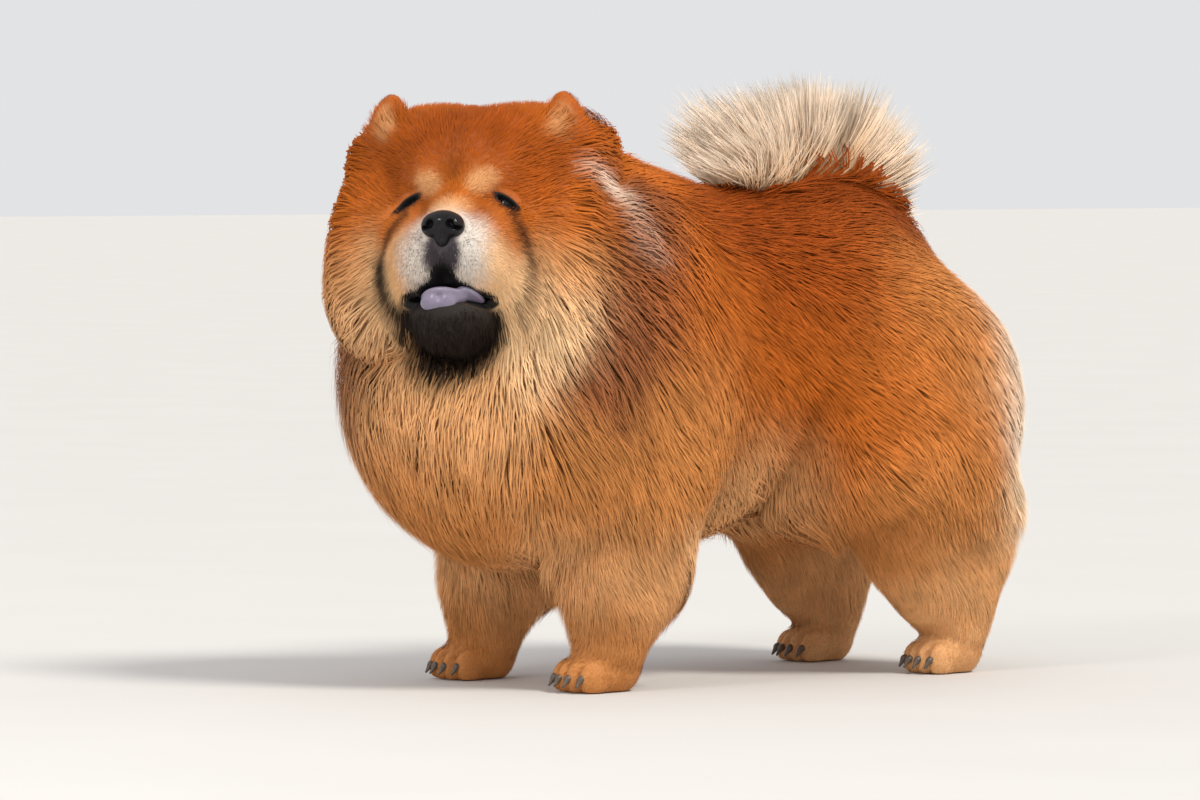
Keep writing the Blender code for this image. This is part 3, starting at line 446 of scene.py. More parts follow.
HEAD_COAT = Coat(head_spots())
BODY_COAT = Coat(body_spots())
SKIN_SHARE = 0.60  # how much of the coat's depth is packed so dense at its root that it counts as skin
CHIN_PAD = 0.004  # the same on the chin, in metres
print("coat from", len(HEAD_COAT.depths) + len(BODY_COAT.depths), "spots")

# %% [markdown]
# ## One skin
# The parts are blended into a single function, so the skin has no seam between head and neck or leg and paw.
# A grid of values is worked out near the surface only, each cell that the surface crosses is split into six
# wedges, and each wedge gives one or two triangles. That always closes, however the parts meet.

# %% The skin as one form


def head_skin(points):
    depth = HEAD_COAT.near(points) @ HEAD_COAT.depths
    return joined(skull_form(points) - SKIN_SHARE * depth, chin_form(points) - CHIN_PAD, 0.003)


def body_skin(points):
    depth = BODY_COAT.near(points) @ BODY_COAT.depths
    return joined(body_form(points) - SKIN_SHARE * depth, curl_form(points), 0.02)


def skin_form(points):
    """Distance from the skin of the whole dog."""
    total = joined(head_skin(points), body_skin(points), 0.012)
    total = joined(total, ears_form(points), 0.004)
    total = joined(total, paws_form(points), 0.004)
    return np.maximum(total, 0.001 - points[:, 2])


def in_batches(function, points, batch=150000):
    return np.concatenate([function(points[start : start + batch]) for start in range(0, len(points), batch)])


NUDGE = 0.0008  # how far to look to either side of a surface


def slope_of(form, points, step=NUDGE):
    """The way out of a form at each point."""
    here = form(points)
    found = np.stack([form(points + step * way) - here for way in np.eye(3)], axis=1)
    return unit(found)


def values_near(form, low, high, step, coarse=4):
    """The form's distance on a grid. Cells far from the surface keep the value of a coarser grid."""
    size = np.ceil((np.array(high) - low) / (step * coarse)).astype(int) * coarse + 1
    wide = np.stack(np.meshgrid(*[np.arange(0, n, coarse) for n in size], indexing="ij"), -1)
    rough = in_batches(form, wide.reshape(-1, 3) * step + low).reshape(wide.shape[:3])
    value = rough
    for axis in range(3):
        value = value.repeat(coarse, axis=axis)
        value = value.take(np.arange(coarse // 2, coarse // 2 + size[axis]), axis=axis)
    close = np.abs(value) < 2.0 * step * coarse
    places = np.argwhere(close) * step + np.array(low)
    value[close] = in_batches(form, places)
    return value


WEDGE_CUTS = {1: [(0, 1, 0, 2, 0, 3)], 2: [(0, 2, 0, 3, 1, 3), (0, 2, 1, 3, 1, 2)], 3: [(0, 3, 1, 3, 2, 3)]}


def surface_of(form, low, high, step, value=None):
    """A closed mesh of triangles where the form's distance is zero."""
    value = values_near(form, low, high, step) if value is None else value
    size = np.array(value.shape)
    strides = np.array([size[1] * size[2], size[2], 1])
    value = value.ravel()
    first = np.arange(len(value)).reshape(size)[:-1, :-1, :-1].ravel()
    corners = first[:, None] + np.array(list(itertools.product((0, 1), repeat=3))) @ strides
    inside = value[corners] < 0
    first = first[inside.any(axis=1) & ~inside.all(axis=1)]
    triangles = []
    for order in itertools.permutations(range(3)):
        corners = first[:, None] + np.cumsum([0, *strides[list(order)]])
        inside = value[corners] < 0
        for number, cuts in WEDGE_CUTS.items():
            picked = inside.sum(axis=1) == number
            ranked = np.argsort(~inside[picked], axis=1, kind="stable")
            wedge = np.take_along_axis(corners[picked], ranked, axis=1)
            triangles += [wedge[:, list(cut)].reshape(-1, 3, 2) for cut in cuts]
    edges = np.sort(np.concatenate(triangles).reshape(-1, 2), axis=1)
    keys, index = np.unique(edges[:, 0] * len(value) + edges[:, 1], return_inverse=True)
    one, two = keys // len(value), keys % len(value)
    share = np.clip(value[one] / (value[one] - value[two]), 0.05, 0.95)[:, None]
    grid_one = np.stack(np.unravel_index(one, size), 1) * step + np.array(low)
    grid_two = np.stack(np.unravel_index(two, size), 1) * step + np.array(low)
    points, faces = grid_one * (1 - share) + grid_two * share, index.reshape(-1, 3)
    return points, turned_out(form, points, faces)


def turned_out(form, points, faces):
    """The triangles, each in the order that makes its front face outward."""
    corners = points[faces]
    normal = unit(np.cross(corners[:, 1] - corners[:, 0], corners[:, 2] - corners[:, 0]))
    middle = corners.mean(axis=1)
    back = in_batches(form, middle + NUDGE * normal) < in_batches(form, middle - NUDGE * normal)
    faces[back] = faces[back][:, ::-1]
    return faces


def mesh_piece(name, points, faces):
    """A mesh in the scene, moved to where the solids stand."""
    mesh = bpy.data.meshes.new(name)
    mesh.vertices.add(len(points))
    mesh.vertices.foreach_set("co", (np.asarray(points) + SHIFT).astype(np.float32).ravel())
    mesh.loops.add(faces.size)
    mesh.loops.foreach_set("vertex_index", faces.astype(np.int32).ravel())
    mesh.polygons.add(len(faces))
    mesh.polygons.foreach_set("loop_start", np.arange(len(faces), dtype=np.int32) * 3)
    mesh.update()
    mesh.validate()
    mesh.shade_smooth()
    thing = bpy.data.objects.new(name, mesh)
    bpy.context.scene.collection.objects.link(thing)
    return thing


def values_of(parts, key, each, kind=np.float32):
    """A value that every corner, edge or face of a mesh has, one row for each."""
    found = np.empty(len(parts) * each, kind)
    parts.foreach_get(key, found)
    return found.reshape(-1, each)


def points_of(thing):
    """The places of a mesh's corners, in the frame of the body."""
    return values_of(thing.data.vertices, "co", 3).astype(float) - SHIFT


def triangles_of(thing):
    return values_of(thing.data.loops, "vertex_index", 1, np.int32).reshape(-1, 3)


def place_points(thing, points):
    thing.data.vertices.foreach_set("co", (points + SHIFT).astype(np.float32).ravel())
    thing.data.update()


class Sampled:
    """A form's distance, read off a grid of values that was worked out once."""

    def __init__(self, value, low, step):
        self.value, self.low, self.step = value, np.array(low), step

    def __call__(self, points):
        local = (points - self.low) / self.step
        base = np.clip(np.floor(local).astype(int), 0, np.array(self.value.shape) - 2)
        part = np.clip(local - base, 0, 1)
        total = np.zeros(len(points))
        for corner in itertools.product((0, 1), repeat=3):
            weight = np.where(corner, part, 1 - part).prod(axis=1)
            total += weight * self.value[tuple((base + corner).T)]
        return total


GRID = 0.006
GRID_LOW, GRID_HIGH = (-0.225, -0.50, -0.018), (0.225, 0.42, 0.70)
skin_values = values_near(skin_form, GRID_LOW, GRID_HIGH, GRID)
guide = Sampled(skin_values, GRID_LOW, GRID)
raw_points, raw_faces = surface_of(guide, GRID_LOW, GRID_HIGH, GRID, skin_values)
skin = mesh_piece("skin", raw_points, raw_faces)
print("first skin:", len(raw_points), "corners", len(raw_faces), "triangles")

# %% [markdown]
# ## Fine where it counts
# An eyelid is two millimetres thick and a flank has no detail at all, so one size of triangle suits neither.
# The skin is first thinned to large triangles, then those on the head, ears and toes are split again and
# again, and after each split the new corners are pulled onto the true surface.

# %% Thin, split and settle the skin
EYE_GAZE = unit(np.array([1.0, 0.42, 0.06]))  # where the left eye looks, on the head
EYE_DROOP = math.radians(-37)  # how far the opening's outer end hangs
EDGES = {"body": 0.011, "face": 0.0048, "ears": 0.0040, "paws": 0.0044, "lips": 0.0026, "lids": 0.0012}
SKIN_KEPT = 0.42  # the share of the first triangles that is kept
SPLITS = 4  # the first two settle on the sampled form, the others on the exact one


def eye_axes(side):
    """Out of the eye, across its opening to the outer end, and up between the lids."""
    gaze = EYE_GAZE * (1, side, 1)
    across = unit(np.cross(gaze, (0, 0, -side)))
    up = np.cross(across, gaze) * side
    up = up * (1 if up[2] > 0 else -1)
    cos, sin = math.cos(EYE_DROOP), math.sin(EYE_DROOP)
    return np.stack([gaze, across * cos + up * sin, up * cos - across * sin])


def wanted_edge(points):
    """How long an edge of the skin may be at each place."""
    local = in_head(points)

    def within(centre, radii):
        return np.linalg.norm((local - centre) / radii, axis=1) < 1

    size = np.full(len(points), EDGES["body"])
    size[within((0.060, 0, -0.030), (0.115, 0.110, 0.125))] = EDGES["face"]
    for side in (1, -1):
        size[within(beside(EAR_STANDS, side), (0.045, 0.050, 0.060))] = EDGES["ears"]
    size[points[:, 2] < 0.062] = EDGES["paws"]
    size[within((0.110, 0, -0.070), (0.070, 0.075, 0.070))] = EDGES["lips"]
    for side in (1, -1):
        size[np.linalg.norm(local - beside(EYE_AT, side), axis=1) < 0.027] = EDGES["lids"]
    return size


def thinned(thing, share):
    """Merges triangles until only this share of them is left."""
    thin = thing.modifiers.new("thin", "DECIMATE")
    thin.ratio = share
    graph = bpy.context.evaluated_depsgraph_get()
    thing.data = bpy.data.meshes.new_from_object(thing.evaluated_get(graph))
    thing.modifiers.clear()


def split_long_edges(thing):
    points, ends = points_of(thing), values_of(thing.data.edges, "vertices", 2, np.int32)
    middle = points[ends].mean(axis=1)
    length = np.linalg.norm(points[ends[:, 0]] - points[ends[:, 1]], axis=1)
    long_ones = np.flatnonzero(length > wanted_edge(middle))
    shape = bmesh.new()
    shape.from_mesh(thing.data)
    shape.edges.ensure_lookup_table()
    bmesh.ops.subdivide_edges(shape, edges=[shape.edges[i] for i in long_ones], cuts=1)
    bmesh.ops.triangulate(shape, faces=[face for face in shape.faces if len(face.verts) > 3])
    shape.to_mesh(thing.data)
    shape.free()
    return len(long_ones)


def settled(points, form, rounds):
    """The points, moved straight in or out onto the surface of the form."""
    for _ in range(rounds):
        points = points - slope_of(form, points) * np.clip(form(points), -0.004, 0.004)[:, None]
    return points


thinned(skin, SKIN_KEPT)
for turn in range(SPLITS):
    count = split_long_edges(skin)
    form = skin_form if turn > 1 else guide
    fine = points_of(skin)
    moving = wanted_edge(fine) < EDGES["body"]
    fine[moving] = in_batches(lambda points: settled(points, form, 1), fine[moving])
    place_points(skin, fine)
    print("split", count, "edges")
print("skin:", len(skin.data.vertices), "corners", len(skin.data.polygons), "triangles")

# %% [markdown]
# ## Folds, lids and lips
# The last step on the skin presses small forms in along its own normal, the way a sculptor draws in clay:
# the opening between the lids, the heavy fold above the eye, the furrow that runs down the cheek, the groove
# under the nose. Because they move points by a few millimetres only, they can be as sharp as the mesh allows.

# %% Press the folds into the face
LID_HALF = (0.0135, 0.0043)  # half the length and half the height of the opening
SOCKET = 0.0070  # how deep the opening goes, down to the eyeball


def eye_place(local, side):
    """Out, across and up from the middle of an eye, for places on the head."""
    return (local - np.array(beside(EYE_AT, side))) @ eye_axes(side).T


def almond(seen):
    """Below 1 inside the opening between the lids, 1 on its edge."""
    across, up = np.abs(seen[:, 1]) / LID_HALF[0], np.abs(seen[:, 2]) / LID_HALF[1]
    return np.where(seen[:, 0] > 0, np.sqrt(across**2.0 + up**1.8), 9.0)


def ramp(value, start, end):
    """0 at the start, 1 at the end, smooth between them."""
    share = np.clip((value - start) / (end - start), 0, 1)
    return share * share * (3 - 2 * share)


FURROW = [
    (0.085, 0.063, -0.014),
    (0.085, 0.078, -0.036),
    (0.085, 0.085, -0.066),
    (0.082, 0.085, -0.100),
    (0.078, 0.072, -0.140),
]
FURROW_SHIFT = 0.005  # both furrows sit a little to the left of the head's middle
FURROWS = [[(f, side * l + FURROW_SHIFT, u) for f, l, u in FURROW] for side in (1, -1)]
FROM_FRONT = (0.08, 1, 1)  # counts how far forward a place is only a little


def on_cheek(local, line, width):
    """1 along a line down the cheek, whichever way the cheek bulges, and 0 behind the face."""
    near = near_line(local * FROM_FRONT, np.array(line) * FROM_FRONT, width)
    return near * ramp(local[:, 0], 0.015, 0.040)


def furrowed(local, width):
    return np.maximum(on_cheek(local, FURROWS[0], width), on_cheek(local, FURROWS[1], width))


def folds(local):
    """How far each place of the face is pressed in. Below 0 it is raised."""
    total = 0.005 * near_line(local, [(0.090, 0, 0.018), (0.066, 0, 0.056)], 0.008)
    total += 0.007 * near_line(local, [(0.150, 0, -0.050), (0.142, 0, -0.082)], 0.0042)
    total += 0.0120 * furrowed(local, 0.0065)
    for side in (1, -1):
        mirrored = local * (1, side, 1)
        seen = eye_place(local, side)
        total += SOCKET * (1 - ramp(almond(seen), 0.80, 1.10))
        brow = near_line(seen, [(0.010, -0.013, 0.006), (0.013, 0, 0.0095), (0.008, 0.015, 0.0040)], 0.0042)
        pouch = near_line(
            seen, [(0.010, -0.010, -0.0070), (0.012, 0.001, -0.0085), (0.008, 0.013, -0.007)], 0.003
        )
        crease = near_line(seen, [(0.010, -0.012, 0.014), (0.011, 0, 0.0175), (0.006, 0.016, 0.011)], 0.003)
        total += 0.0030 * crease - 0.0030 * brow - 0.0014 * pouch
        total += 0.0016 * near_line(mirrored, [(0.128, 0.018, -0.046), (0.110, 0.046, -0.050)], 0.004)
    return total


fine = points_of(skin)
face_zone = np.linalg.norm(in_head(fine) - (0.08, 0, -0.03), axis=1) < 0.15
pressed = folds(in_head(fine[face_zone]))
fine[face_zone] -= values_of(skin.data.vertices, "normal", 3).astype(float)[face_zone] * pressed[:, None]
place_points(skin, fine)
print("face folds reach", pressed.max().round(4), "deep")

# %% [markdown]
# ## Markings
# A red chow isn't one red: the saddle is deep, the cheeks and trousers are apricot, the tail and the edges
# are cream, the muzzle is grizzled and the lips are black. One function paints all of that from soft spots,
# and the skin and every tuft ask it for their colour, so that fur and skin always match. It also paints shade:
# dark in the furrows down the cheeks and low in the ear cups, under the chin and down the throat, on the far
# side of the ruff and on the muzzle's right side. The places are shaken a little first, because the edge of a
# marking is made of single hairs.

# %% The markings of the coat
COLOURS = {
    "saddle": (0.235, 0.043, 0.002),
    "red": (0.290, 0.054, 0.003),
    "orange": (0.500, 0.125, 0.012),
    "gold": (0.555, 0.220, 0.060),
    "apricot": (0.710, 0.370, 0.155),
    "cream": (0.860, 0.570, 0.310),
    "pale": (0.940, 0.820, 0.680),
    "mauve": (0.230, 0.072, 0.026),
    "brown": (0.045, 0.014, 0.006),
    "grizzle": (0.690, 0.630, 0.570),
    "slate": (0.055, 0.044, 0.052),
    "black": (0.006, 0.005, 0.005),
    # The chin's own dark colour, also used for painted shade under the chin, down the throat and on the shaded
    # cheek.
    "chin": (0.016, 0.010, 0.007),
}


def body_colour_spots():
    spots = [
        ("saddle", (0, 0.10, 0.50), 0.10),
        ("saddle", (0, 0.21, 0.52), 0.07),
        ("orange", (0, -0.12, 0.54), 0.07),
        ("apricot", (0, -0.38, 0.34), 0.09),
        ("gold", (0, -0.36, 0.20), 0.06),
        ("apricot", (0, -0.02, 0.19), 0.08),
        ("pale", (0, 0.38, 0.32), 0.08),
        ("orange", on_head(0.03, 0, 0.10), 0.08),
        ("red", on_head(0.02, 0, 0.12), 0.06),
        # Painted shadow of the head on the far side of the ruff.
        ("mauve", on_head(0.0, -0.165, -0.170), 0.065),
    ]
    for side in (1, -1):
        spots += [
            ("red", (side * 0.14, 0.05, 0.43), 0.10),
            ("orange", (side * 0.19, -0.10, 0.40), 0.07),
            ("gold", (side * 0.20, -0.12, 0.28), 0.07),
            ("orange", (side * 0.16, 0.02, 0.32), 0.07),
            ("apricot", (side * 0.13, 0.0, 0.20), 0.06),
            ("orange", (side * 0.17, 0.15, 0.32), 0.09),
            ("gold", (side * 0.17, 0.23, 0.37), 0.08),
            ("apricot", (side * 0.15, 0.30, 0.33), 0.05),
            ("pale", (side * 0.13, 0.365, 0.32), 0.065),
            ("cream", (side * 0.13, 0.34, 0.19), 0.05),
            ("gold", (side * 0.17, 0.20, 0.20), 0.07),
            ("apricot", (side * 0.12, 0.28, 0.10), 0.06),
            ("apricot", (side * 0.12, 0.26, 0.03), 0.05),
            ("mauve", (side * 0.15, -0.190, 0.51), 0.042),
            ("mauve", (side * 0.19, -0.190, 0.45), 0.042),
            ("mauve", (side * 0.21, -0.230, 0.38), 0.036),
            ("mauve", (side * 0.20, -0.255, 0.31), 0.030),
            ("gold", (side * 0.18, -0.22, 0.22), 0.06),
            ("apricot", (side * 0.12, -0.20, 0.12), 0.06),
            ("gold", (side * 0.12, -0.22, 0.03), 0.05),
            ("cream", (side * 0.12, -0.14, 0.17), 0.035),
            ("cream", on_head(0.06, side * 0.09, -0.13), 0.05),
            ("gold", on_head(0.05, side * 0.12, -0.09), 0.040),
            ("orange", on_head(0.02, side * 0.13, -0.01), 0.05),
            ("red", on_head(0.03, side * 0.08, 0.04), 0.05),
        ]
    return spots


FROM_SIDE = (0.35, 1, 1)  # counts how far out a place is only a little
PALE_LINE = [on_head(0.0, 0.109, 0.046), (0.14, -0.20, 0.53), (0.175, -0.207, 0.460)]
SHADED_CHEEK = [(0.085, -0.082, -0.075), (0.085, -0.078, -0.115), (0.085, -0.050, -0.160)]
EAR_INSIDE = (EAR_STANDS[0] + 0.014, EAR_STANDS[1], EAR_STANDS[2] + 0.002)
# Low in the ear's cup, where shade is painted.
SHADED_EAR_CUP = (EAR_INSIDE[0], EAR_INSIDE[1], EAR_INSIDE[2] - 0.012)
skull_hollow = blended(mouth_hollows(), 0.004)
COLOUR_SPOTS = body_colour_spots()
SPOT_PLACES = np.array([place for _, place, _ in COLOUR_SPOTS], float)
SPOT_REACHES = np.array([reach for _, _, reach in COLOUR_SPOTS])
SPOT_COLOURS = np.array([COLOURS[name] for name, _, _ in COLOUR_SPOTS])


def shaken(points, amount):
    """The points, moved a little in smooth waves, so that no edge of a marking is a clean line."""
    waves = np.zeros_like(points)
    one, two = points[:, [1, 2, 0]], points[:, [2, 0, 1]]
    for scale, part in ((41.0, 0.6), (97.0, 0.3), (223.0, 0.15)):
        waves += part * np.sin(one * scale + two * scale * 0.7 + (0.3, 1.7, 4.1))
    return points + amount * waves


def soft_spot(points, centre, radii, edge=0.35):
    """1 inside an ellipsoid, 0 outside, with a soft edge."""
    away = np.linalg.norm((points - np.array(centre)) / radii, axis=1)
    return 1 - ramp(away, 1 - edge, 1 + edge)


def painted(under, name, amount):
    share = np.clip(amount, 0, 1)[:, None]
    return under * (1 - share) + np.array(COLOURS[name]) * share


def sides_of(points):
    """Factors that bring every point to the side where the first number is above 0."""
    return np.stack([np.where(points[:, 0] < 0, -1.0, 1.0), np.ones(len(points)), np.ones(len(points))], 1)


def markings(points):
    """The colour of the coat at each place of the skin, painted shade included."""
    moved = shaken(points, 0.012)
    away = ((moved[:, None] - SPOT_PLACES) ** 2).sum(axis=2) / SPOT_REACHES**2
    weight = np.exp(-away) + 1e-8 / (1 + away)
    colour = (weight / weight.sum(axis=1)[:, None]) @ SPOT_COLOURS
    local = in_head(shaken(points, 0.003))
    mirrored = local * sides_of(local[:, [1, 0, 2]])[:, [1, 0, 2]]
    seen = points * sides_of(points) * FROM_SIDE
    muzzle = soft_spot(mirrored, (0.108, 0.026, -0.062), (0.050, 0.028, 0.042))
    speck = np.sin(points[:, 0] * 1700) * np.sin(points[:, 1] * 1900) * np.sin(points[:, 2] * 1500)
    coats_of_paint = [
        ("pale", 0.8 * near_line(seen, np.array(PALE_LINE) * FROM_SIDE, 0.011)),
        ("orange", 0.9 * soft_spot(mirrored, (0.070, 0.062, -0.036), (0.04, 0.03, 0.035))),
        ("red", 0.8 * soft_spot(local, (0.045, 0, 0.075), (0.06, 0.075, 0.050))),
        ("apricot", 0.80 * soft_spot(mirrored, (0.083, 0.031, 0.022), (0.026, 0.016, 0.014), 0.5)),
        ("brown", 0.40 * near_line(local, [(0.090, 0, 0.030), (0.060, 0, 0.075)], 0.011)),
        ("cream", 0.8 * soft_spot(mirrored, (0.076, 0.062, -0.088), (0.03, 0.026, 0.035))),
        ("grizzle", muzzle),
        ("grizzle", 0.7 * soft_spot(local, (0.128, 0, -0.024), (0.022, 0.032, 0.024))),
        # Grizzled specks on the muzzle, made denser on the dog's right side as painted shade on that side.
        ("brown", 0.7 * muzzle * ramp(speck - 4 * local[:, 1], 0.20, 0.35)),
        ("apricot", 0.7 * soft_spot(local, (0.104, 0, -0.008), (0.030, 0.026, 0.014))),
        ("slate", soft_spot(local, (0.142, -0.001, -0.060), (0.034, 0.020, 0.028), 0.25)),
        # The dark chin, spread past the jaw onto the ruff round it as painted shade under the chin.
        ("chin", soft_spot(local, (0.084, -0.004, -0.152), (0.110, 0.066, 0.055), 0.15)),
        # Painted shadow down the throat, under the chin.
        ("chin", 0.9 * soft_spot(local, (0.070, -0.022, -0.180), (0.060, 0.045, 0.026))),
        # Painted shade in the furrows down the cheeks.
        ("brown", 0.95 * furrowed(local, 0.0048)),
        ("chin", on_cheek(local, SHADED_CHEEK, 0.0120)),
        ("apricot", 0.65 * soft_spot(mirrored, EAR_INSIDE, (0.016, 0.013, 0.030))),
        # Painted shade low in the cup of each ear.
        ("brown", 0.75 * soft_spot(mirrored, SHADED_EAR_CUP, (0.016, 0.009, 0.015), 0.5)),
        ("black", 1 - ramp(skull_hollow(points), 0.0005, 0.0025)),
    ]
    for name, amount in coats_of_paint:
        colour = painted(colour, name, amount)
    return black_lids(colour, points, 1.15, 1.55)


def black_lids(colour, points, start, end):
    """The colours, made black round both eyes. Start and end count the opening between the lids as 1."""
    local = in_head(points)
    for side in (1, -1):
        colour = painted(colour, "black", 1 - ramp(almond(eye_place(local, side)), start, end))
    return colour


def bare_markings(points):
    """The colour of the bare skin: as the coat, but black on lids, lips and inside the mouth."""
    colour = black_lids(0.92 * markings(points), points, 1.25, 1.70)
    return painted(colour, "black", 1 - ramp(skull_hollow(points), 0.0008, 0.0030))


def lay_colour(thing, name, colours):
    """Stores a colour for every corner of a mesh."""
    layer = thing.data.color_attributes.new(name, "FLOAT_COLOR", "POINT")
    full = np.ones((len(colours), 4), np.float32)
    full[:, :3] = colours
    layer.data.foreach_set("color", full.ravel())


def lay_value(thing, name, values):
    """Stores a number for every corner of a mesh."""
    layer = thing.data.attributes.new(name, "FLOAT", "POINT")
    layer.data.foreach_set("value", values.astype(np.float32))


lay_colour(skin, "tint", in_batches(bare_markings, points_of(skin)))
print("markings from", len(COLOUR_SPOTS), "spots")

# %% [markdown]
# ## Finishes
# Real hair is never one flat colour. The coat's finish takes its tint from the mesh, then makes each tuft a
# little lighter or darker, draws fine streaks along it, and paints the roots darker as painted shade. It has
# next to no gloss, because a lock of many hairs scatters the light. Nose leather is pebbled and wet, the tongue
# is smoother, claws are horn. Fixed numbers go straight on the shader's own sockets.

# %% Node helpers


class Finish:
    """A material with a few short words for its nodes."""

    def __init__(self, name, roughness, **fixed):
        self.material = bpy.data.materials.new(name)
        self.material.use_nodes = True
        self.tree = self.material.node_tree
        self.shader = self.tree.nodes["Principled BSDF"]
        self.shader.inputs["Roughness"].default_value = roughness
        for socket, value in fixed.items():
            self.shader.inputs[socket.replace("_", " ")].default_value = value

    def node(self, kind, **settings):
        made = self.tree.nodes.new(kind)
        for key, value in settings.items():
            setattr(made, key, value)
        return made

    def link(self, one, two):
        self.tree.links.new(one, two)

    def attribute(self, name):
        return self.node("ShaderNodeAttribute", attribute_name=name)

    def noise(self, scale, detail=3.0, coordinates=None):
        made = self.node("ShaderNodeTexNoise")
        made.inputs["Scale"].default_value = scale
        made.inputs["Detail"].default_value = detail
        self.link(coordinates or self.place(), made.inputs["Vector"])
        return made.outputs["Fac"]

    def place(self):
        return self.node("ShaderNodeTexCoord").outputs["Object"]

    def range(self, value, low, high, start=0.0, end=1.0):
        made = self.node("ShaderNodeMapRange")
        for key, number in (("From Min", start), ("From Max", end), ("To Min", low), ("To Max", high)):
            made.inputs[key].default_value = number
        self.link(value, made.inputs["Value"])
        return made.outputs["Result"]

    def times(self, one, two):
        made = self.node("ShaderNodeMath", operation="MULTIPLY")
        self.link(one, made.inputs[0])
        self.link(two, made.inputs[1])
        return made.outputs["Value"]

    def scaled(self, colour, factor):
        """The colour, made lighter or darker by the factor."""
        made = self.node("ShaderNodeVectorMath", operation="SCALE")
        self.link(colour, made.inputs[0])
        self.link(factor, made.inputs["Scale"])
        return made.outputs["Vector"]

    def mixed(self, factor, one, two):
        made = self.node("ShaderNodeMix", data_type="RGBA")
        self.link(factor, made.inputs["Factor"])
        for socket, colour in ((made.inputs["A"], one), (made.inputs["B"], two)):
            if isinstance(colour, tuple):
                socket.default_value = (*colour, 1)
            else:
                self.link(colour, socket)
        return made.outputs["Result"]

    def bump(self, height, strength, distance):
        made = self.node("ShaderNodeBump")
        made.inputs["Strength"].default_value = strength
        made.inputs["Distance"].default_value = distance
        self.link(height, made.inputs["Height"])
        self.link(made.outputs["Normal"], self.shader.inputs["Normal"])

    def colour(self, socket):
        self.link(socket, self.shader.inputs["Base Color"])

    def rough(self, socket):
        self.link(socket, self.shader.inputs["Roughness"])


def coat_finish(name, streaks):
    made = Finish(name, 0.62, Specular_IOR_Level=0.03)
    strands = made.node("ShaderNodeUVMap", uv_map="Strands").outputs["UV"]
    streak = made.noise(6.0, 2.0, strands)
    luck = made.range(made.attribute("luck").outputs["Fac"], 0.86, 1.13)
    # Roots painted darker than the tips: painted shade deep in the coat.
    rise = made.range(made.attribute("along").outputs["Fac"], 0.90, 1.03, 0.0, 0.7)
    clump = made.range(made.noise(30.0, 2.0), 0.88, 1.10, 0.35, 0.65)
    light = made.times(made.times(luck, rise), made.range(streak, 1 - streaks, 1 + streaks, 0.25, 0.75))
    light = made.times(light, clump)
    made.colour(made.scaled(made.attribute("tint").outputs["Color"], light))
    made.bump(streak, 0.35, 0.0004)
    return made.material


def skin_finish():
    made = Finish("skin under the coat", 0.7, Specular_IOR_Level=0.3)
    hair = made.noise(420.0, 3.0)
    made.colour(made.scaled(made.attribute("tint").outputs["Color"], made.range(hair, 0.82, 1.14, 0.3, 0.7)))
    made.bump(hair, 0.6, 0.001)
    return made.material


def leather_finish():
    made = Finish("nose leather", 0.30, Specular_IOR_Level=0.10, Coat_Weight=0.30, Coat_Roughness=0.05)
    cells = made.node("ShaderNodeTexVoronoi", feature="DISTANCE_TO_EDGE")
    cells.inputs["Scale"].default_value = 430.0
    made.link(made.place(), cells.inputs["Vector"])
    pebble = made.range(cells.outputs["Distance"], 0.0, 1.0, 0.0, 0.25)
    made.colour(made.mixed(made.noise(160.0), (0.004, 0.004, 0.005), (0.013, 0.012, 0.015)))
    made.rough(made.range(made.noise(90.0), 0.28, 0.48))
    made.bump(pebble, 0.9, 0.0009)
    return made.material


def tongue_finish():
    made = Finish("tongue", 0.34, Coat_Weight=0.35, Coat_Roughness=0.15, Subsurface_Weight=0.15)
    made.shader.inputs["Subsurface Scale"].default_value = 0.004
    made.colour(made.mixed(made.noise(120.0), (0.160, 0.135, 0.200), (0.270, 0.235, 0.330)))
    made.bump(made.noise(900.0, 2.0), 0.4, 0.0005)
    return made.material


def horn_finish():
    made = Finish("claw horn", 0.38)
    stretched = made.node("ShaderNodeMapping")
    stretched.inputs["Scale"].default_value = (1.0, 0.25, 0.25)
    made.link(made.place(), stretched.inputs["Vector"])
    grain = stretched.outputs["Vector"]
    made.colour(made.mixed(made.noise(500.0, 3.0, grain), (0.05, 0.034, 0.026), (0.15, 0.11, 0.08)))
    made.bump(made.noise(700.0, 2.0, grain), 0.3, 0.0004)
    return made.material


def eye_finish():
    made = Finish("eye", 0.06, Specular_IOR_Level=0.25, Coat_Weight=0.4, Coat_Roughness=0.03)
    ring = made.attribute("ring").outputs["Fac"]
    rays = made.noise(700.0, 3.0)
    iris = made.mixed(rays, (0.012, 0.005, 0.003), (0.040, 0.017, 0.008))
    white = made.mixed(made.range(ring, 0.0, 1.0, 0.0072, 0.0082), iris, (0.10, 0.075, 0.065))
    made.colour(made.mixed(made.range(ring, 0.0, 1.0, 0.0030, 0.0036), (0.003, 0.003, 0.003), white))
    return made.material


COAT_LONG = coat_finish("long coat", 0.16)
COAT_SHORT = coat_finish("short coat", 0.12)
LEATHER, TONGUE, HORN, EYE = leather_finish(), tongue_finish(), horn_finish(), eye_finish()
skin.data.materials.append(skin_finish())
print("finishes:", len(bpy.data.materials))

# %% [markdown]
# ## Nose, tongue, eyes and claws
# The nose is a wide pad with two comma shaped nostrils and a groove down its middle. The blue tongue is the
# mark of the breed: a soft leaf with a furrow, its tip hung over the lower lip. The claws curve down out of
# the toes. All of these come from the same kind of blended masses as the skin, on a much finer grid. The
# eyes are dark balls with a small bulge at the front, and most of each is hidden behind the lids.

# %% Small parts of the head


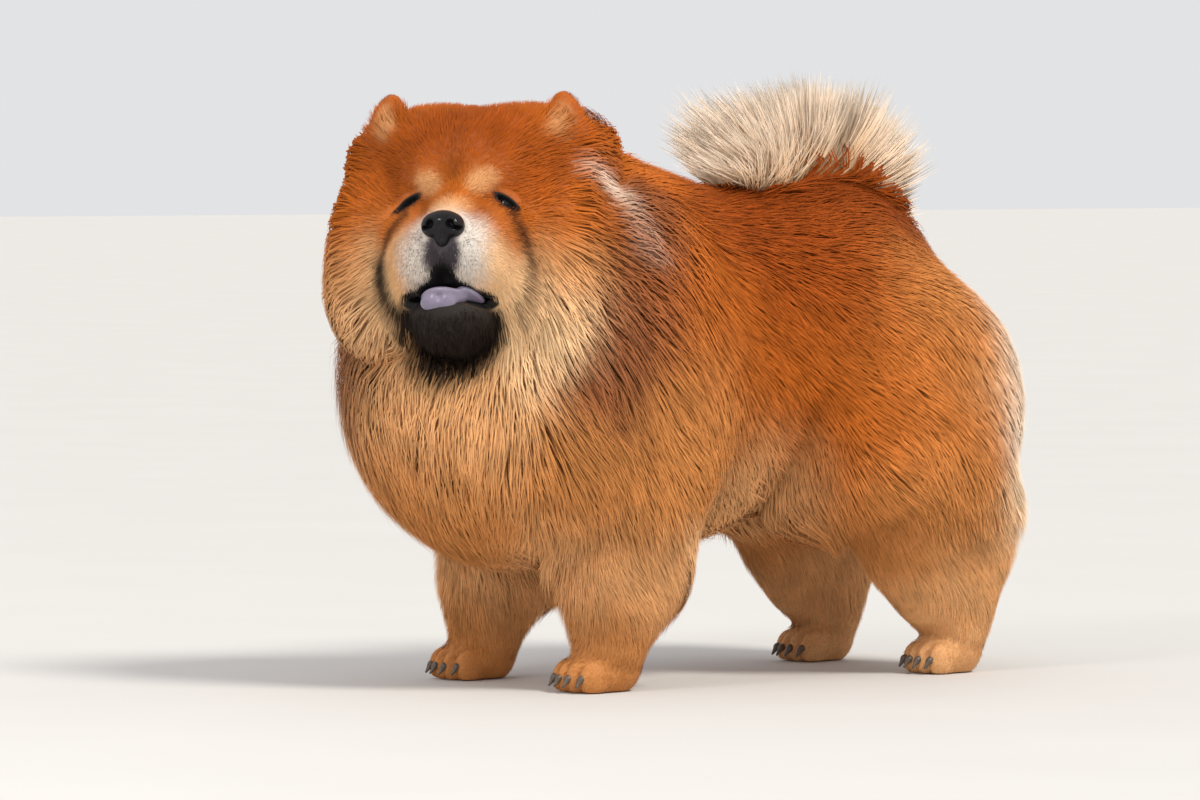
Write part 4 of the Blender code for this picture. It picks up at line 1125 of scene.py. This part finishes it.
def nose_form():
    f, _, u = NOSE_AT
    masses = [
        head_ball((f, 0, u), (0.0190, 0.0200, 0.0150)),
        head_ball((f + 0.002, 0, u + 0.006), (0.0150, 0.0180, 0.0095)),
        head_ball((f + 0.002, 0, u - 0.014), (0.0120, 0.0085, 0.0100)),
    ]
    holes = []
    for side in (1, -1):
        masses.append(head_ball((f + 0.003, side * 0.0128, u - 0.001), (0.0135, 0.0108, 0.0118)))
        holes.append(head_ball((f + 0.0165, side * 0.0112, u + 0.0005), (0.0085, 0.0044, 0.0050)))
        holes.append(head_ball((f + 0.0120, side * 0.0180, u - 0.0035), (0.0080, 0.0055, 0.0024)))
    body = carved(blended(masses, 0.004), holes, 0.0018)
    groove = [on_head(f + 0.020, 0, u + 0.001), on_head(f + 0.018, 0, u - 0.024)]
    return lambda points: body(points) + 0.0022 * near_line(points, groove, 0.0014)


def tongue_form():
    masses = [
        head_ball((0.088, 0, -0.1035), (0.036, 0.0240, 0.0060)),
        turned_ball((0.121, -0.003, -0.1070), (0.016, 0.0240, 0.0060), 0.0, 0.75),
        turned_ball((0.126, -0.008, -0.1135), (0.010, 0.0185, 0.0058), 0.0, 1.05),
        turned_ball((0.108, 0.024, -0.1035), (0.020, 0.0150, 0.0055), 0.30, 0.30),
    ]
    body = blended(masses, 0.008)
    groove = [on_head(0.060, 0, -0.096), on_head(0.110, -0.002, -0.097), on_head(0.137, -0.006, -0.108)]
    return lambda points: body(points) + 0.0024 * near_line(points, groove, 0.0040)


def detailed(name, form, middle, reach, step, material, node):
    middle = np.array(middle)
    made = mesh_piece(name, *surface_of(form, middle - reach, middle + reach, step))
    place_points(made, settled(points_of(made), form, 2))
    made.data.materials.append(material)
    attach(made, "root")
    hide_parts(node)
    print(name, len(made.data.polygons), "triangles")
    return made


nose = detailed("nose_pad", nose_form(), on_head(*NOSE_AT), 0.036, 0.0014, LEATHER, "nose")
tongue = detailed("tongue_leaf", tongue_form(), on_head(0.100, 0, -0.105), 0.056, 0.0020, TONGUE, "tongue")

# %% Eyes
EYE_RADIUS = 0.0115


def eye_ball(side, word):
    """A ball with the cornea's bulge. The ring attribute is how far each corner is from the line of sight."""
    shape = bmesh.new()
    bmesh.ops.create_icosphere(shape, subdivisions=5, radius=1.0)
    way = np.array([vertex.co for vertex in shape.verts])
    faces = np.array([[vertex.index for vertex in face.verts] for face in shape.faces])
    shape.free()
    gaze = eye_axes(side)[0]
    facing = way @ gaze
    ring = EYE_RADIUS * np.sqrt(np.maximum(1 - facing**2, 0)) + 0.02 * (facing < 0)
    bulge = 0.0010 * ramp(facing, 0.72, 0.92)
    points = way * (EYE_RADIUS + bulge)[:, None] + np.array(beside(EYE_AT, side))
    made = mesh_piece("eyeball_" + word, points @ HEAD_AXES + np.array(HEAD_AT), faces)
    lay_value(made, "ring", ring)
    made.data.materials.append(EYE)
    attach(made, "root")
    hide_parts("eye_" + word)
    return made


eyeballs = [eye_ball(side, word) for side, word in SIDES]
print("eyeballs:", [len(eye.data.polygons) for eye in eyeballs])

# %% Claws


def claw_form(side, paw, toe):
    """A short claw that curves down out of the end of its toe."""
    root = toe_place(side, paw, toe) + np.array([0, -0.0080, 0.0040])
    bend = root + np.array([0, -0.0105, -0.0040])
    tip = root + np.array([0, -0.0185, -0.0140])
    return blended([limb(root, bend, 0.0042, 0.0034), limb(bend, tip, 0.0034, 0.0009)], 0.003)


for side, word in SIDES:
    for paw in PAWS:
        for number, toe in enumerate(TOES, 1):
            form = claw_form(side, paw, toe)
            name = f"{paw}_{word}_claw_{number}"
            middle = toe_place(side, paw, toe) + np.array([0, -0.018, -0.002])
            claw = detailed("horn_" + name, form, middle, 0.017, 0.0020, HORN, name)

# %% [markdown]
# ## Where each tuft stands
# Tufts are planted at random over the skin, closer together where the hair is short. At each root the map of
# the coat gives depth and lie. On the ears the hair is a short plush that runs to the tip, on the paws it is
# shorter still, and on the tail it stands straight out from the curl like a fan.

# %% Roots of the tufts
SEED = 7
TUFTS = 196000
FAN_ENDS = (-70, 170)  # degrees round the tail's curl, between which its hair stands out as a fan

# one number each for head, body, ears, tail, chin and paws
ZONE_SOFTNESS = (0.010, 0.010, 0.002, 0.006, 0.003, 0.003)
ZONE_DEPTHS = np.array([0, 0, 0.006, 0.115, 0.022, 0.006])


def share_of(points):
    """How much of each root belongs to the head, body, ears, tail, chin and paws."""
    forms = [head_skin, body_form, ears_form, curl_form, chin_form, paws_form]
    away = np.stack([form(points) for form in forms], 1)
    away[:, 1] -= SKIN_SHARE * BODY_COAT.near(points) @ BODY_COAT.depths
    away[:, 4] -= CHIN_PAD
    away[:, 0] += 0.0005
    nearest = away.min(axis=1, keepdims=True)
    weight = np.exp(-(away - nearest) / ZONE_SOFTNESS)
    return weight / weight.sum(axis=1)[:, None]


def on_mask(points):
    """1 on the short haired mask of the face, inside the furrows, and 0 on the plush round it."""
    return soft_spot(in_head(points), (0.100, 0, -0.045), (0.072, 0.083, 0.078), 0.13)


def hair_at(points):
    """The depth of the coat, its lie, and how much of each root is on the tail."""
    part = share_of(points)
    head, body = HEAD_COAT.near(points), BODY_COAT.near(points)
    spoke = points - np.array([0, *TAIL_CURL])
    fan = unit(unit(spoke * (0, 1, 1)) + spoke * (9.0, 0, 0))
    side = np.sign(in_head(points)[:, 1])[:, None]
    ear_lie = unit(HEAD_AXES[2] + 0.35 * side * HEAD_AXES[1] - 0.2 * HEAD_AXES[0])
    chin_lie = unit(-HEAD_AXES[2] - 0.8 * HEAD_AXES[0])
    depth = part @ ZONE_DEPTHS
    mask = on_mask(points)
    plush = (head @ HEAD_COAT.depths) * (1 - mask) + 0.006 * mask
    depth += part[:, 0] * plush + part[:, 1] * (body @ BODY_COAT.depths)
    lie = part[:, :1] * (head @ HEAD_COAT.lies) + part[:, 1:2] * (body @ BODY_COAT.lies)
    lie += part[:, 2:3] * ear_lie + part[:, 3:4] * fan + part[:, 4:5] * chin_lie
    lie += part[:, 5:] * np.array([0, -0.6, -0.8])
    return depth, unit(lie), part[:, 3]


def round_curl(points):
    """The spoke from the middle of the tail's curl to each point, from the side, and its angle in degrees."""
    spoke = points[:, 1:] - np.array(TAIL_CURL)
    return spoke, np.degrees(np.arctan2(spoke[:, 1], spoke[:, 0]))


def planted(rng, count):
    """Random places on the skin, closer together where the coat is short."""
    corners = points_of(skin)[triangles_of(skin)]
    one, two = corners[:, 1] - corners[:, 0], corners[:, 2] - corners[:, 0]
    area = np.linalg.norm(np.cross(one, two), axis=1) / 2
    middle = corners.mean(axis=1)
    depth, _, tail = in_batches(lambda points: np.column_stack(hair_at(points)), middle)[:, [0, 1, 4]].T
    chance = area * (1 + 3.0 * tail + 2.0 * on_mask(middle)) / (0.45 * depth + 0.015)
    local = in_head(middle)
    closed = skull_hollow(middle) < 0.0012
    for side in (1, -1):
        closed |= almond(eye_place(local, side)) < 1.25
    closed |= nose_form()(middle) < 0.0015
    closed |= middle[:, 2] < 0.004
    _, angle = round_curl(middle)
    closed |= (tail > 0.5) & ((angle > FAN_ENDS[1]) | (angle < FAN_ENDS[0]))
    chance[closed] = 0
    pick = rng.choice(len(corners), count, p=chance / chance.sum())
    u, v = rng.random((2, count, 1))
    over = u + v > 1
    u, v = np.where(over, 1 - u, u), np.where(over, 1 - v, v)
    return corners[pick, 0] + u * one[pick] + v * two[pick]


rng = np.random.default_rng(SEED)
roots = planted(rng, TUFTS)
print("roots:", len(roots))

# %% [markdown]
# ## The path of each tuft
# A tuft leaves the skin, bends over with the lie and rises to its share of the coat's depth. Neighbouring
# tufts lean together in clumps, because a smooth wave of small turns is shared between them, and each one
# adds a little turn of its own. One in sixteen or so is a thin stray that stands out further, which makes
# the outline of the coat soft.

# %% Paths of the tufts
STOPS = (0.0, 0.30, 0.60, 1.0)
STRAYS = 0.06  # the share of thin tufts that stand out further
ROOT_SUNK = 0.0015  # how deep the foot of a tuft sits in the skin
OFF_FLOOR = 0.0012  # no hair goes lower than this


def clumped(points, size):
    """A smooth random turn for each place, shared by places nearer than about the size."""
    turn = np.zeros_like(points)
    for part, (a, b, c) in ((0.5, (1, 2, 3)), (0.35, (5, 1, 2)), (0.25, (3, 7, 4))):
        phase = points @ np.array([[a, -b, c], [c, a, b], [-b, c, a]]) / size
        turn += part * np.sin(phase * 1.3 + (0.7 * a, 1.9 * b, 2.3 * c))
    return turn


def under_thigh(points, out):
    """1 where the hair would hang from the thighs and the rear of the belly, which is tucked up."""
    return ramp(-out[:, 2], 0.0, 0.75) * ramp(points[:, 1], 0.08, 0.16) * (points[:, 2] > 0.06)


def near_fold(points):
    """1 in the furrows and round the eyes, which stay open because the hair is short. Less on the ears."""
    local = in_head(points)
    near = furrowed(local, 0.0085)
    for side in (1, -1):
        mirrored = local * (1, side, 1)
        near = np.maximum(near, 1 - ramp(almond(eye_place(local, side)), 1.3, 3.0))
        near = np.maximum(near, 0.45 * soft_spot(mirrored, EAR_STANDS, (0.026, 0.030, 0.046), 0.2))
    return near


def paths_of(points, rng):
    """The stops of each tuft and the way out at each, then what later steps need to know of it."""
    depth, lie, tail = hair_at(points)
    stray = rng.random(len(points)) < STRAYS
    luck = rng.random(len(points))
    room = depth * (1 - SKIN_SHARE)
    rise = room * np.where(stray, rng.uniform(0.98, 1.14, len(points)), rng.uniform(0.80, 1.0, len(points)))
    run = 0.0038 + 0.72 * depth + 0.012 * ramp(depth, 0.004, 0.02)
    hushed = near_fold(points)
    rise = rise * (1 - 0.8 * hushed)
    run = run * rng.uniform(0.75, 1.2, len(points)) * (1 - 0.7 * hushed)
    shared = 0.24 * clumped(points, 0.10) + 0.11 * clumped(points, 0.020)
    turn = shared + rng.normal(0, 0.085, (len(points), 3))
    fan = tail > 0.5
    place, stops, outs, before = points, [], [], 0.0
    for stop in STOPS:
        out = slope_of(guide, place, 0.003)
        if stop == 0:
            rise = rise * (1 - 0.72 * under_thigh(place, out))
        ahead = hair_at(place)[1] + turn
        ahead = unit(ahead - (ahead * out).sum(axis=1)[:, None] * out)
        place = place + ahead * (run * (stop - before))[:, None]
        place = place - out * np.clip(guide(place), -0.02, 0.02)[:, None]
        before = stop
        ease = 1 - (1 - stop) ** 2.2
        height = -ROOT_SUNK + (rise + ROOT_SUNK) * ease
        stops.append(place + out * height[:, None])
        outs.append(out)
    stops, outs = np.stack(stops, 1), np.stack(outs, 1)
    return stops, outs, depth, luck, stray, fan, turn, lie


SIDE_LIMIT = (SOLID_BOX[1][0] - 0.008, SOLID_BOX[1][0] + 0.006)  # where the widest tufts are held back


def fan_out(points, lie, turn, rng):
    """Straight stops for the hair of the tail, which stands out from the curl and bends a little forward."""
    spoke, angle = round_curl(points)
    edge = 0.132 + 0.042 * ramp(angle, 10, 50) + 0.036 * ramp(angle, 90, 165) - 0.03 * ramp(-angle, 0, 40)
    uneven = rng.uniform(0.55, 1.08, len(points)) + 0.12 * clumped(points, 0.03)[:, 0]
    length = np.maximum((edge - np.linalg.norm(spoke, axis=1)) * uneven, 0.03)
    ahead = unit(lie + 0.75 * turn)
    round_it = np.cross(ahead, (1.0, 0, 0))
    made = [points + (ahead * stop - round_it * 0.14 * stop**2) * length[:, None] for stop in STOPS]
    made[0] = points - ahead * 0.002
    out = unit(np.cross(ahead, round_it))
    return np.stack(made, 1), np.repeat(out[:, None], len(STOPS), axis=1)


def grown_in_batches(points, rng, batch=25000):
    parts = [paths_of(points[start : start + batch], rng) for start in range(0, len(points), batch)]
    return [np.concatenate(part) for part in zip(*parts)]


stops, outs, depth, luck, stray, fan, turn, lie = grown_in_batches(roots, rng)
stops[fan], outs[fan] = fan_out(roots[fan], lie[fan], turn[fan], rng)
length = np.linalg.norm(np.diff(stops, axis=1), axis=2).sum(axis=1)
width = np.minimum(0.0010 + 0.018 * length, 0.0025) * rng.uniform(0.8, 1.2, len(roots))
width *= np.where(stray, 0.5, 1.0) * np.where(fan, 0.65, 1.0)
stops[:, :, 2] = np.maximum(stops[:, :, 2], OFF_FLOOR)
reach = np.abs(stops[:, :, 0] + SHIFT[0])
over = reach > SIDE_LIMIT[0]
room = SIDE_LIMIT[1] - SIDE_LIMIT[0]
held = SIDE_LIMIT[0] + room * np.tanh((reach[over] - SIDE_LIMIT[0]) / room)
stops[over, 0] = np.sign(stops[over, 0] + SHIFT[0]) * held - SHIFT[0]
print("tufts from", length.min().round(4), "to", length.max().round(4), "long;", int(stray.sum()), "strays")

# %% [markdown]
# ## From paths to solid tufts
# Each tuft is a closed, three sided spike that is drawn to a point. Building them one by one in Python would
# take minutes, so all tufts of a piece are made at once as arrays. Fur is soft to look at because a hair
# takes the light of the whole body, so the shading normals of a tuft lean to the skin's way out. Its
# underside takes them turned round, because a normal that points into its own face shows as a black streak.
# The fan of the tail, which is seen from both sides, keeps them as they are. Every tuft also gets a small
# patch on an unwrap of the skin at its own root, for baked colours.

# %% Unwrap of the skin
UNWRAP_FACES = 9000


def unwrapped_copy():
    """A coarse copy of the skin with its faces laid out flat, as corner places and their flat places."""
    copy = skin.copy()
    copy.data = skin.data.copy()
    bpy.context.scene.collection.objects.link(copy)
    thinned(copy, UNWRAP_FACES / len(skin.data.polygons))
    bpy.context.view_layer.objects.active = copy
    copy.select_set(True)
    bpy.ops.object.mode_set(mode="EDIT")
    bpy.ops.mesh.select_all(action="SELECT")
    bpy.ops.uv.smart_project(angle_limit=math.radians(66), island_margin=0.004)
    bpy.ops.object.mode_set(mode="OBJECT")
    faces, corners = triangles_of(copy), points_of(copy)
    flat = values_of(copy.data.uv_layers.active.data, "uv", 2)
    bpy.data.objects.remove(copy)
    return corners, faces, flat.reshape(-1, 3, 2).astype(float)


def flat_places(points):
    """Where each point's nearest place on the skin lies on the unwrap."""
    corners, faces, flat = unwrapped_copy()
    tree = BVHTree.FromPolygons(corners.tolist(), faces.tolist(), all_triangles=True)
    found = [tree.find_nearest(point) for point in points.tolist()]
    where = np.array([hit[0] for hit in found])
    index = np.array([hit[2] for hit in found])
    a, b, c = (corners[faces[index, k]] for k in range(3))
    ab, ac, ap = b - a, c - a, where - a
    d1, d2, d3 = (ab * ab).sum(1), (ab * ac).sum(1), (ac * ac).sum(1)
    e1, e2 = (ap * ab).sum(1), (ap * ac).sum(1)
    under = np.maximum(d1 * d3 - d2 * d2, 1e-18)
    v, w = (d3 * e1 - d2 * e2) / under, (d1 * e2 - d2 * e1) / under
    share = np.stack([1 - v - w, v, w], 1)
    return np.clip((flat[index] * share[:, :, None]).sum(axis=1), 0.003, 0.997)


root_uv = flat_places(roots)
print("unwrap holds roots from", root_uv.min(axis=0).round(3), "to", root_uv.max(axis=0).round(3))

# %% Colours of the tufts
seen_at = stops[:, -1] + rng.normal(0, 0.0022, roots.shape)
root_tint = in_batches(markings, 0.35 * roots + 0.65 * seen_at)


def tip_tint(tips, tint):
    """The colour at the tips: a shade lighter, cream on the tail and along the back of the thighs, whose pale
    edge is also painted rim light.
    """
    pale = np.array(COLOURS["pale"])
    tip = tint * 1.10 + 0.008
    cream = np.where(fan, 0.92, 0.0)
    height = tips[:, 2]
    # The back of the thighs is cream breeches, made paler at their edge as painted rim light from behind.
    behind = ramp(tips[:, 1], 0.270, 0.370) * ramp(height, 0.10, 0.20) * (1 - ramp(height, 0.44, 0.52))
    cream = np.maximum(cream, 0.85 * behind)
    return tip * (1 - cream[:, None]) + pale * cream[:, None]


end_tint = tip_tint(stops[:, -1], in_batches(markings, seen_at))
root_tint[fan] = np.array(COLOURS["orange"]) * 0.3 + np.array(COLOURS["cream"]) * 0.7
PATCH = 0.003  # how large a tuft's patch is on the unwrap
TUFT_RIDGE = 0.09  # how high the back of a tuft stands, in its own widths
TUFT_ROUND = 0.45  # how much a tuft is shaded as round. At 0 it takes the body's own light only
soft = unit(outs.mean(axis=1) + 0.25 * unit(stops[:, -1] - stops[:, 0]) + (0.05, 0, 0.15))
upward = np.array([0.0, -0.2, 0.9])
soft[fan] = unit(upward + 0.6 * lie[fan] + np.sign(turn[fan, :1]) * (0.5, 0, 0))


def tuft_arrays(pick, keep):
    """Corners, triangles and values of the picked tufts, with cross sections at the kept stops."""
    path, out = stops[pick][:, keep], outs[pick][:, keep]
    rings = len(keep) - 1
    widths = {1: (1.0,), 2: (1.15, 0.85), 3: (0.62, 1.0, 0.72)}[rings]
    points, along, across, facing = [], [], [], []
    for ring in range(rings):
        ahead = unit(path[:, ring + 1] - path[:, ring])
        side = unit(np.cross(ahead, out[:, ring])) * (width[pick] * widths[ring] / 2)[:, None]
        ridge = unit(np.cross(side, ahead)) * (width[pick] * widths[ring] * TUFT_RIDGE)[:, None]
        points += [path[:, ring] - side, path[:, ring] + side, path[:, ring] + ridge]
        along += [STOPS[keep[ring]]] * 3
        across += [0.0, 1.0, 0.5]
        lean = unit(side) * TUFT_ROUND
        facing += [unit(soft[pick] - lean), unit(soft[pick] + lean), soft[pick]]
    points.append(path[:, -1])
    facing.append(soft[pick])
    along.append(1.0)
    across.append(0.5)
    tip = 3 * rings
    faces, under = [(0, 1, 2)], [True]
    for ring in range(0, tip - 3, 3):
        for a in range(3):
            b = (a + 1) % 3
            faces += [(ring + a, ring + b + 3, ring + b), (ring + a, ring + a + 3, ring + b + 3)]
            under += [a == 0] * 2
    faces += [(tip - 3 + (a + 1) % 3, tip - 3 + a, tip) for a in range(3)]
    under += [True, False, False]
    turned = np.where(under, -1.0 if rings < 3 else 1.0, 1.0)[None, :, None, None]
    facing = np.stack(facing, 1)[:, np.array(faces)] * turned
    return np.stack(points, 1), np.array(faces), np.array(along), np.array(across), facing


def coat_piece(name, pick, keep, material):
    corners, faces, along, across, facing = tuft_arrays(pick, keep)
    count, each = corners.shape[:2]
    all_faces = (faces[None] + np.arange(count)[:, None, None] * each).reshape(-1, 3)
    made = mesh_piece(name, corners.reshape(-1, 3), all_faces)
    made.data.normals_split_custom_set(facing.reshape(-1, 3).astype(np.float32))
    share = along[None, :, None] ** 1.4
    tint = root_tint[pick][:, None] * (1 - share) + end_tint[pick][:, None] * share
    lay_colour(made, "tint", tint.reshape(-1, 3))
    lay_value(made, "along", np.tile(along, count))
    lay_value(made, "luck", np.repeat(luck[pick], each))
    flat = np.stack([across - 0.5, along - 0.5], 1)
    patch = root_uv[pick][:, None] + flat[None] * PATCH
    strand = np.stack([across, along * 0.35], 1)[None] + luck[pick][:, None, None] * (97.0, 53.0)
    for key, values in (("OFBake", patch), ("Strands", strand)):
        layer = made.data.uv_layers.new(name=key)
        layer.data.foreach_set("uv", values.reshape(-1, 2)[all_faces.ravel()].astype(np.float32).ravel())
    made.data.uv_layers.active = made.data.uv_layers["OFBake"]
    made.data.materials.append(material)
    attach(made, "root")
    print(name, count, "tufts", len(all_faces), "triangles")
    return made


# %% [markdown]
# ## The pieces of the coat
# The coat is split by region, as a groomer would name them, so that no single mesh grows too heavy. The hair
# of the tail keeps three cross sections, because it stands free and its bend is seen. Other long hair has
# two, and short hair needs only one.

# %% Plant the coat
LONG_HAIR = 0.040  # the depth of the coat from which its hair counts as long
REGIONS = {
    "face": (on_head(0.10, 0, -0.04), 1.00),
    "crown": (on_head(0.02, 0, 0.10), 1.00),
    "ruff_left": (on_head(0.00, 0.13, -0.06), 0.90),
    "ruff_right": (on_head(0.00, -0.13, -0.06), 0.90),
    "nape": ((0, -0.16, 0.56), 0.80),
    "chest": ((0, -0.36, 0.26), 0.90),
    "shoulder_left": ((0.16, -0.16, 0.36), 0.85),
    "shoulder_right": ((-0.16, -0.16, 0.36), 0.85),
    "back": ((0, 0.10, 0.50), 0.80),
    "flank_left": ((0.15, 0.06, 0.38), 0.85),
    "flank_right": ((-0.15, 0.06, 0.38), 0.85),
    "belly": ((0, 0.00, 0.22), 0.85),
    "thigh_left": ((0.12, 0.28, 0.28), 1.00),
    "thigh_right": ((-0.12, 0.28, 0.28), 1.00),
    "forelegs": ((0, -0.20, 0.10), 1.00),
    "hindlegs": ((0, 0.27, 0.08), 1.00),
}
places = np.array([place for place, _ in REGIONS.values()])
spreads = np.array([spread for _, spread in REGIONS.values()])
region = (np.linalg.norm(roots[:, None] - places, axis=2) / spreads).argmin(axis=1)
region[fan] = len(REGIONS)
long_hair = depth > LONG_HAIR
coat = []
for number, name in enumerate([*REGIONS, "tail"]):
    for word, chosen, keep, material in (
        ("fan", fan, [0, 1, 2, 3], COAT_LONG),
        ("long", long_hair & ~fan, [0, 2, 3], COAT_LONG),
        ("short", ~(long_hair | fan), [0, 3], COAT_SHORT),
    ):
        pick = np.flatnonzero((region == number) & chosen)
        if len(pick) > 0:
            coat.append(coat_piece(f"coat_{name}_{word}", pick, keep, material))
print("coat:", sum(len(piece.data.polygons) for piece in coat), "triangles in", len(coat), "pieces")

# %% [markdown]
# ## Put the skin in place of the solids
# The skin stands for every solid of flesh, so all of them are hidden behind it in one call. A few of its
# triangles lie back to back on the same corners. They hold no volume, so they go first.

# %% The skin replaces the flesh
BARE = ("nose", "tongue")
FLESH = [node for node in NODES if "claw" not in node and "eye" not in node and node not in BARE]


def drop_doubled(thing):
    """Takes away all triangles that share their three corners with another, and counts them."""
    shape = bmesh.new()
    shape.from_mesh(thing.data)
    same = {}
    for face in shape.faces:
        same.setdefault(frozenset(corner.index for corner in face.verts), []).append(face)
    doubled = [face for faces in same.values() if len(faces) > 1 for face in faces]
    bmesh.ops.delete(shape, geom=doubled, context="FACES")
    shape.to_mesh(thing.data)
    shape.free()
    return len(doubled)


print("doubled triangles taken away:", drop_doubled(skin))
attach(skin, "root")
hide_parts(*FLESH)
print("the skin replaces", len(FLESH), "solids")

# %% [markdown]
# ## Floor, light and camera
# A plain pale floor and soft light, as in a museum's photo studio: one wide lamp high on the dog's left for
# shape, a weak one in front, and a pale world that fills the shadows. The camera stands eight metres away at
# the height of a crouching person, so that the dog looks as it does from across a lawn.

# %% Studio
FLOOR_HALF = 40
square = np.array([[-1, -1, 0], [1, -1, 0], [1, 1, 0], [-1, 1, 0]]) * FLOOR_HALF
floor = mesh_piece("floor", square - SHIFT * (1, 1, 0), np.array([[0, 1, 2], [0, 2, 3]]))
paper = Finish("pale floor", 0.85)
paper.colour(paper.mixed(paper.noise(3.0), (0.60, 0.59, 0.575), (0.64, 0.63, 0.615)))
floor.data.materials.append(paper.material)

world = bpy.data.worlds.new("studio")
world.use_nodes = True
world.node_tree.nodes["Background"].inputs["Color"].default_value = (0.98, 0.985, 1.0, 1)
world.node_tree.nodes["Background"].inputs["Strength"].default_value = 0.78
bpy.context.scene.world = world


def lamp(name, kind, place, power, colour, size):
    """A lamp that faces the middle of the dog."""
    data = bpy.data.lights.new(name, kind)
    data.energy, data.color = power, colour
    if kind == "SUN":
        data.angle = size
    else:
        data.size = size
    thing = bpy.data.objects.new(name, data)
    thing.location = Vector(place)
    thing.rotation_euler = (Vector((0, 0, 0.3)) - thing.location).to_track_quat("-Z", "Y").to_euler()
    bpy.context.scene.collection.objects.link(thing)


lamp("key", "SUN", (4.2, 0.9, 5.4), 2.45, (1.0, 0.95, 0.86), math.radians(18))
lamp("fill", "AREA", (1.6, -4.4, 3.0), 70, (1.0, 0.97, 0.94), 1.2)

CAMERA_AZIMUTH = math.radians(54)
CAMERA_AWAY = 8.0
CAMERA_ABOVE = 0.29
SENSOR = 36.0
PHOTO_WIDTH = 1200  # pixels
PER_METRE = 910  # pixels of the photo that one metre of the dog takes up
LOOK_AT = np.array([0, -0.13, 0.31])
sideways = math.sin(CAMERA_AZIMUTH) * CAMERA_AWAY
eye_point = LOOK_AT + (sideways, -math.cos(CAMERA_AZIMUTH) * CAMERA_AWAY, CAMERA_ABOVE)
camera = bpy.data.objects.new("camera", bpy.data.cameras.new("camera"))
camera.data.lens = SENSOR * PER_METRE * CAMERA_AWAY / PHOTO_WIDTH
camera.data.sensor_width = SENSOR
camera.location = Vector(eye_point + SHIFT)
camera.rotation_euler = Vector(LOOK_AT - eye_point).to_track_quat("-Z", "Y").to_euler()
bpy.context.scene.collection.objects.link(camera)
bpy.context.scene.camera = camera
bpy.context.scene.view_settings.view_transform = "Standard"
print("camera lens", round(camera.data.lens, 1), "mm")
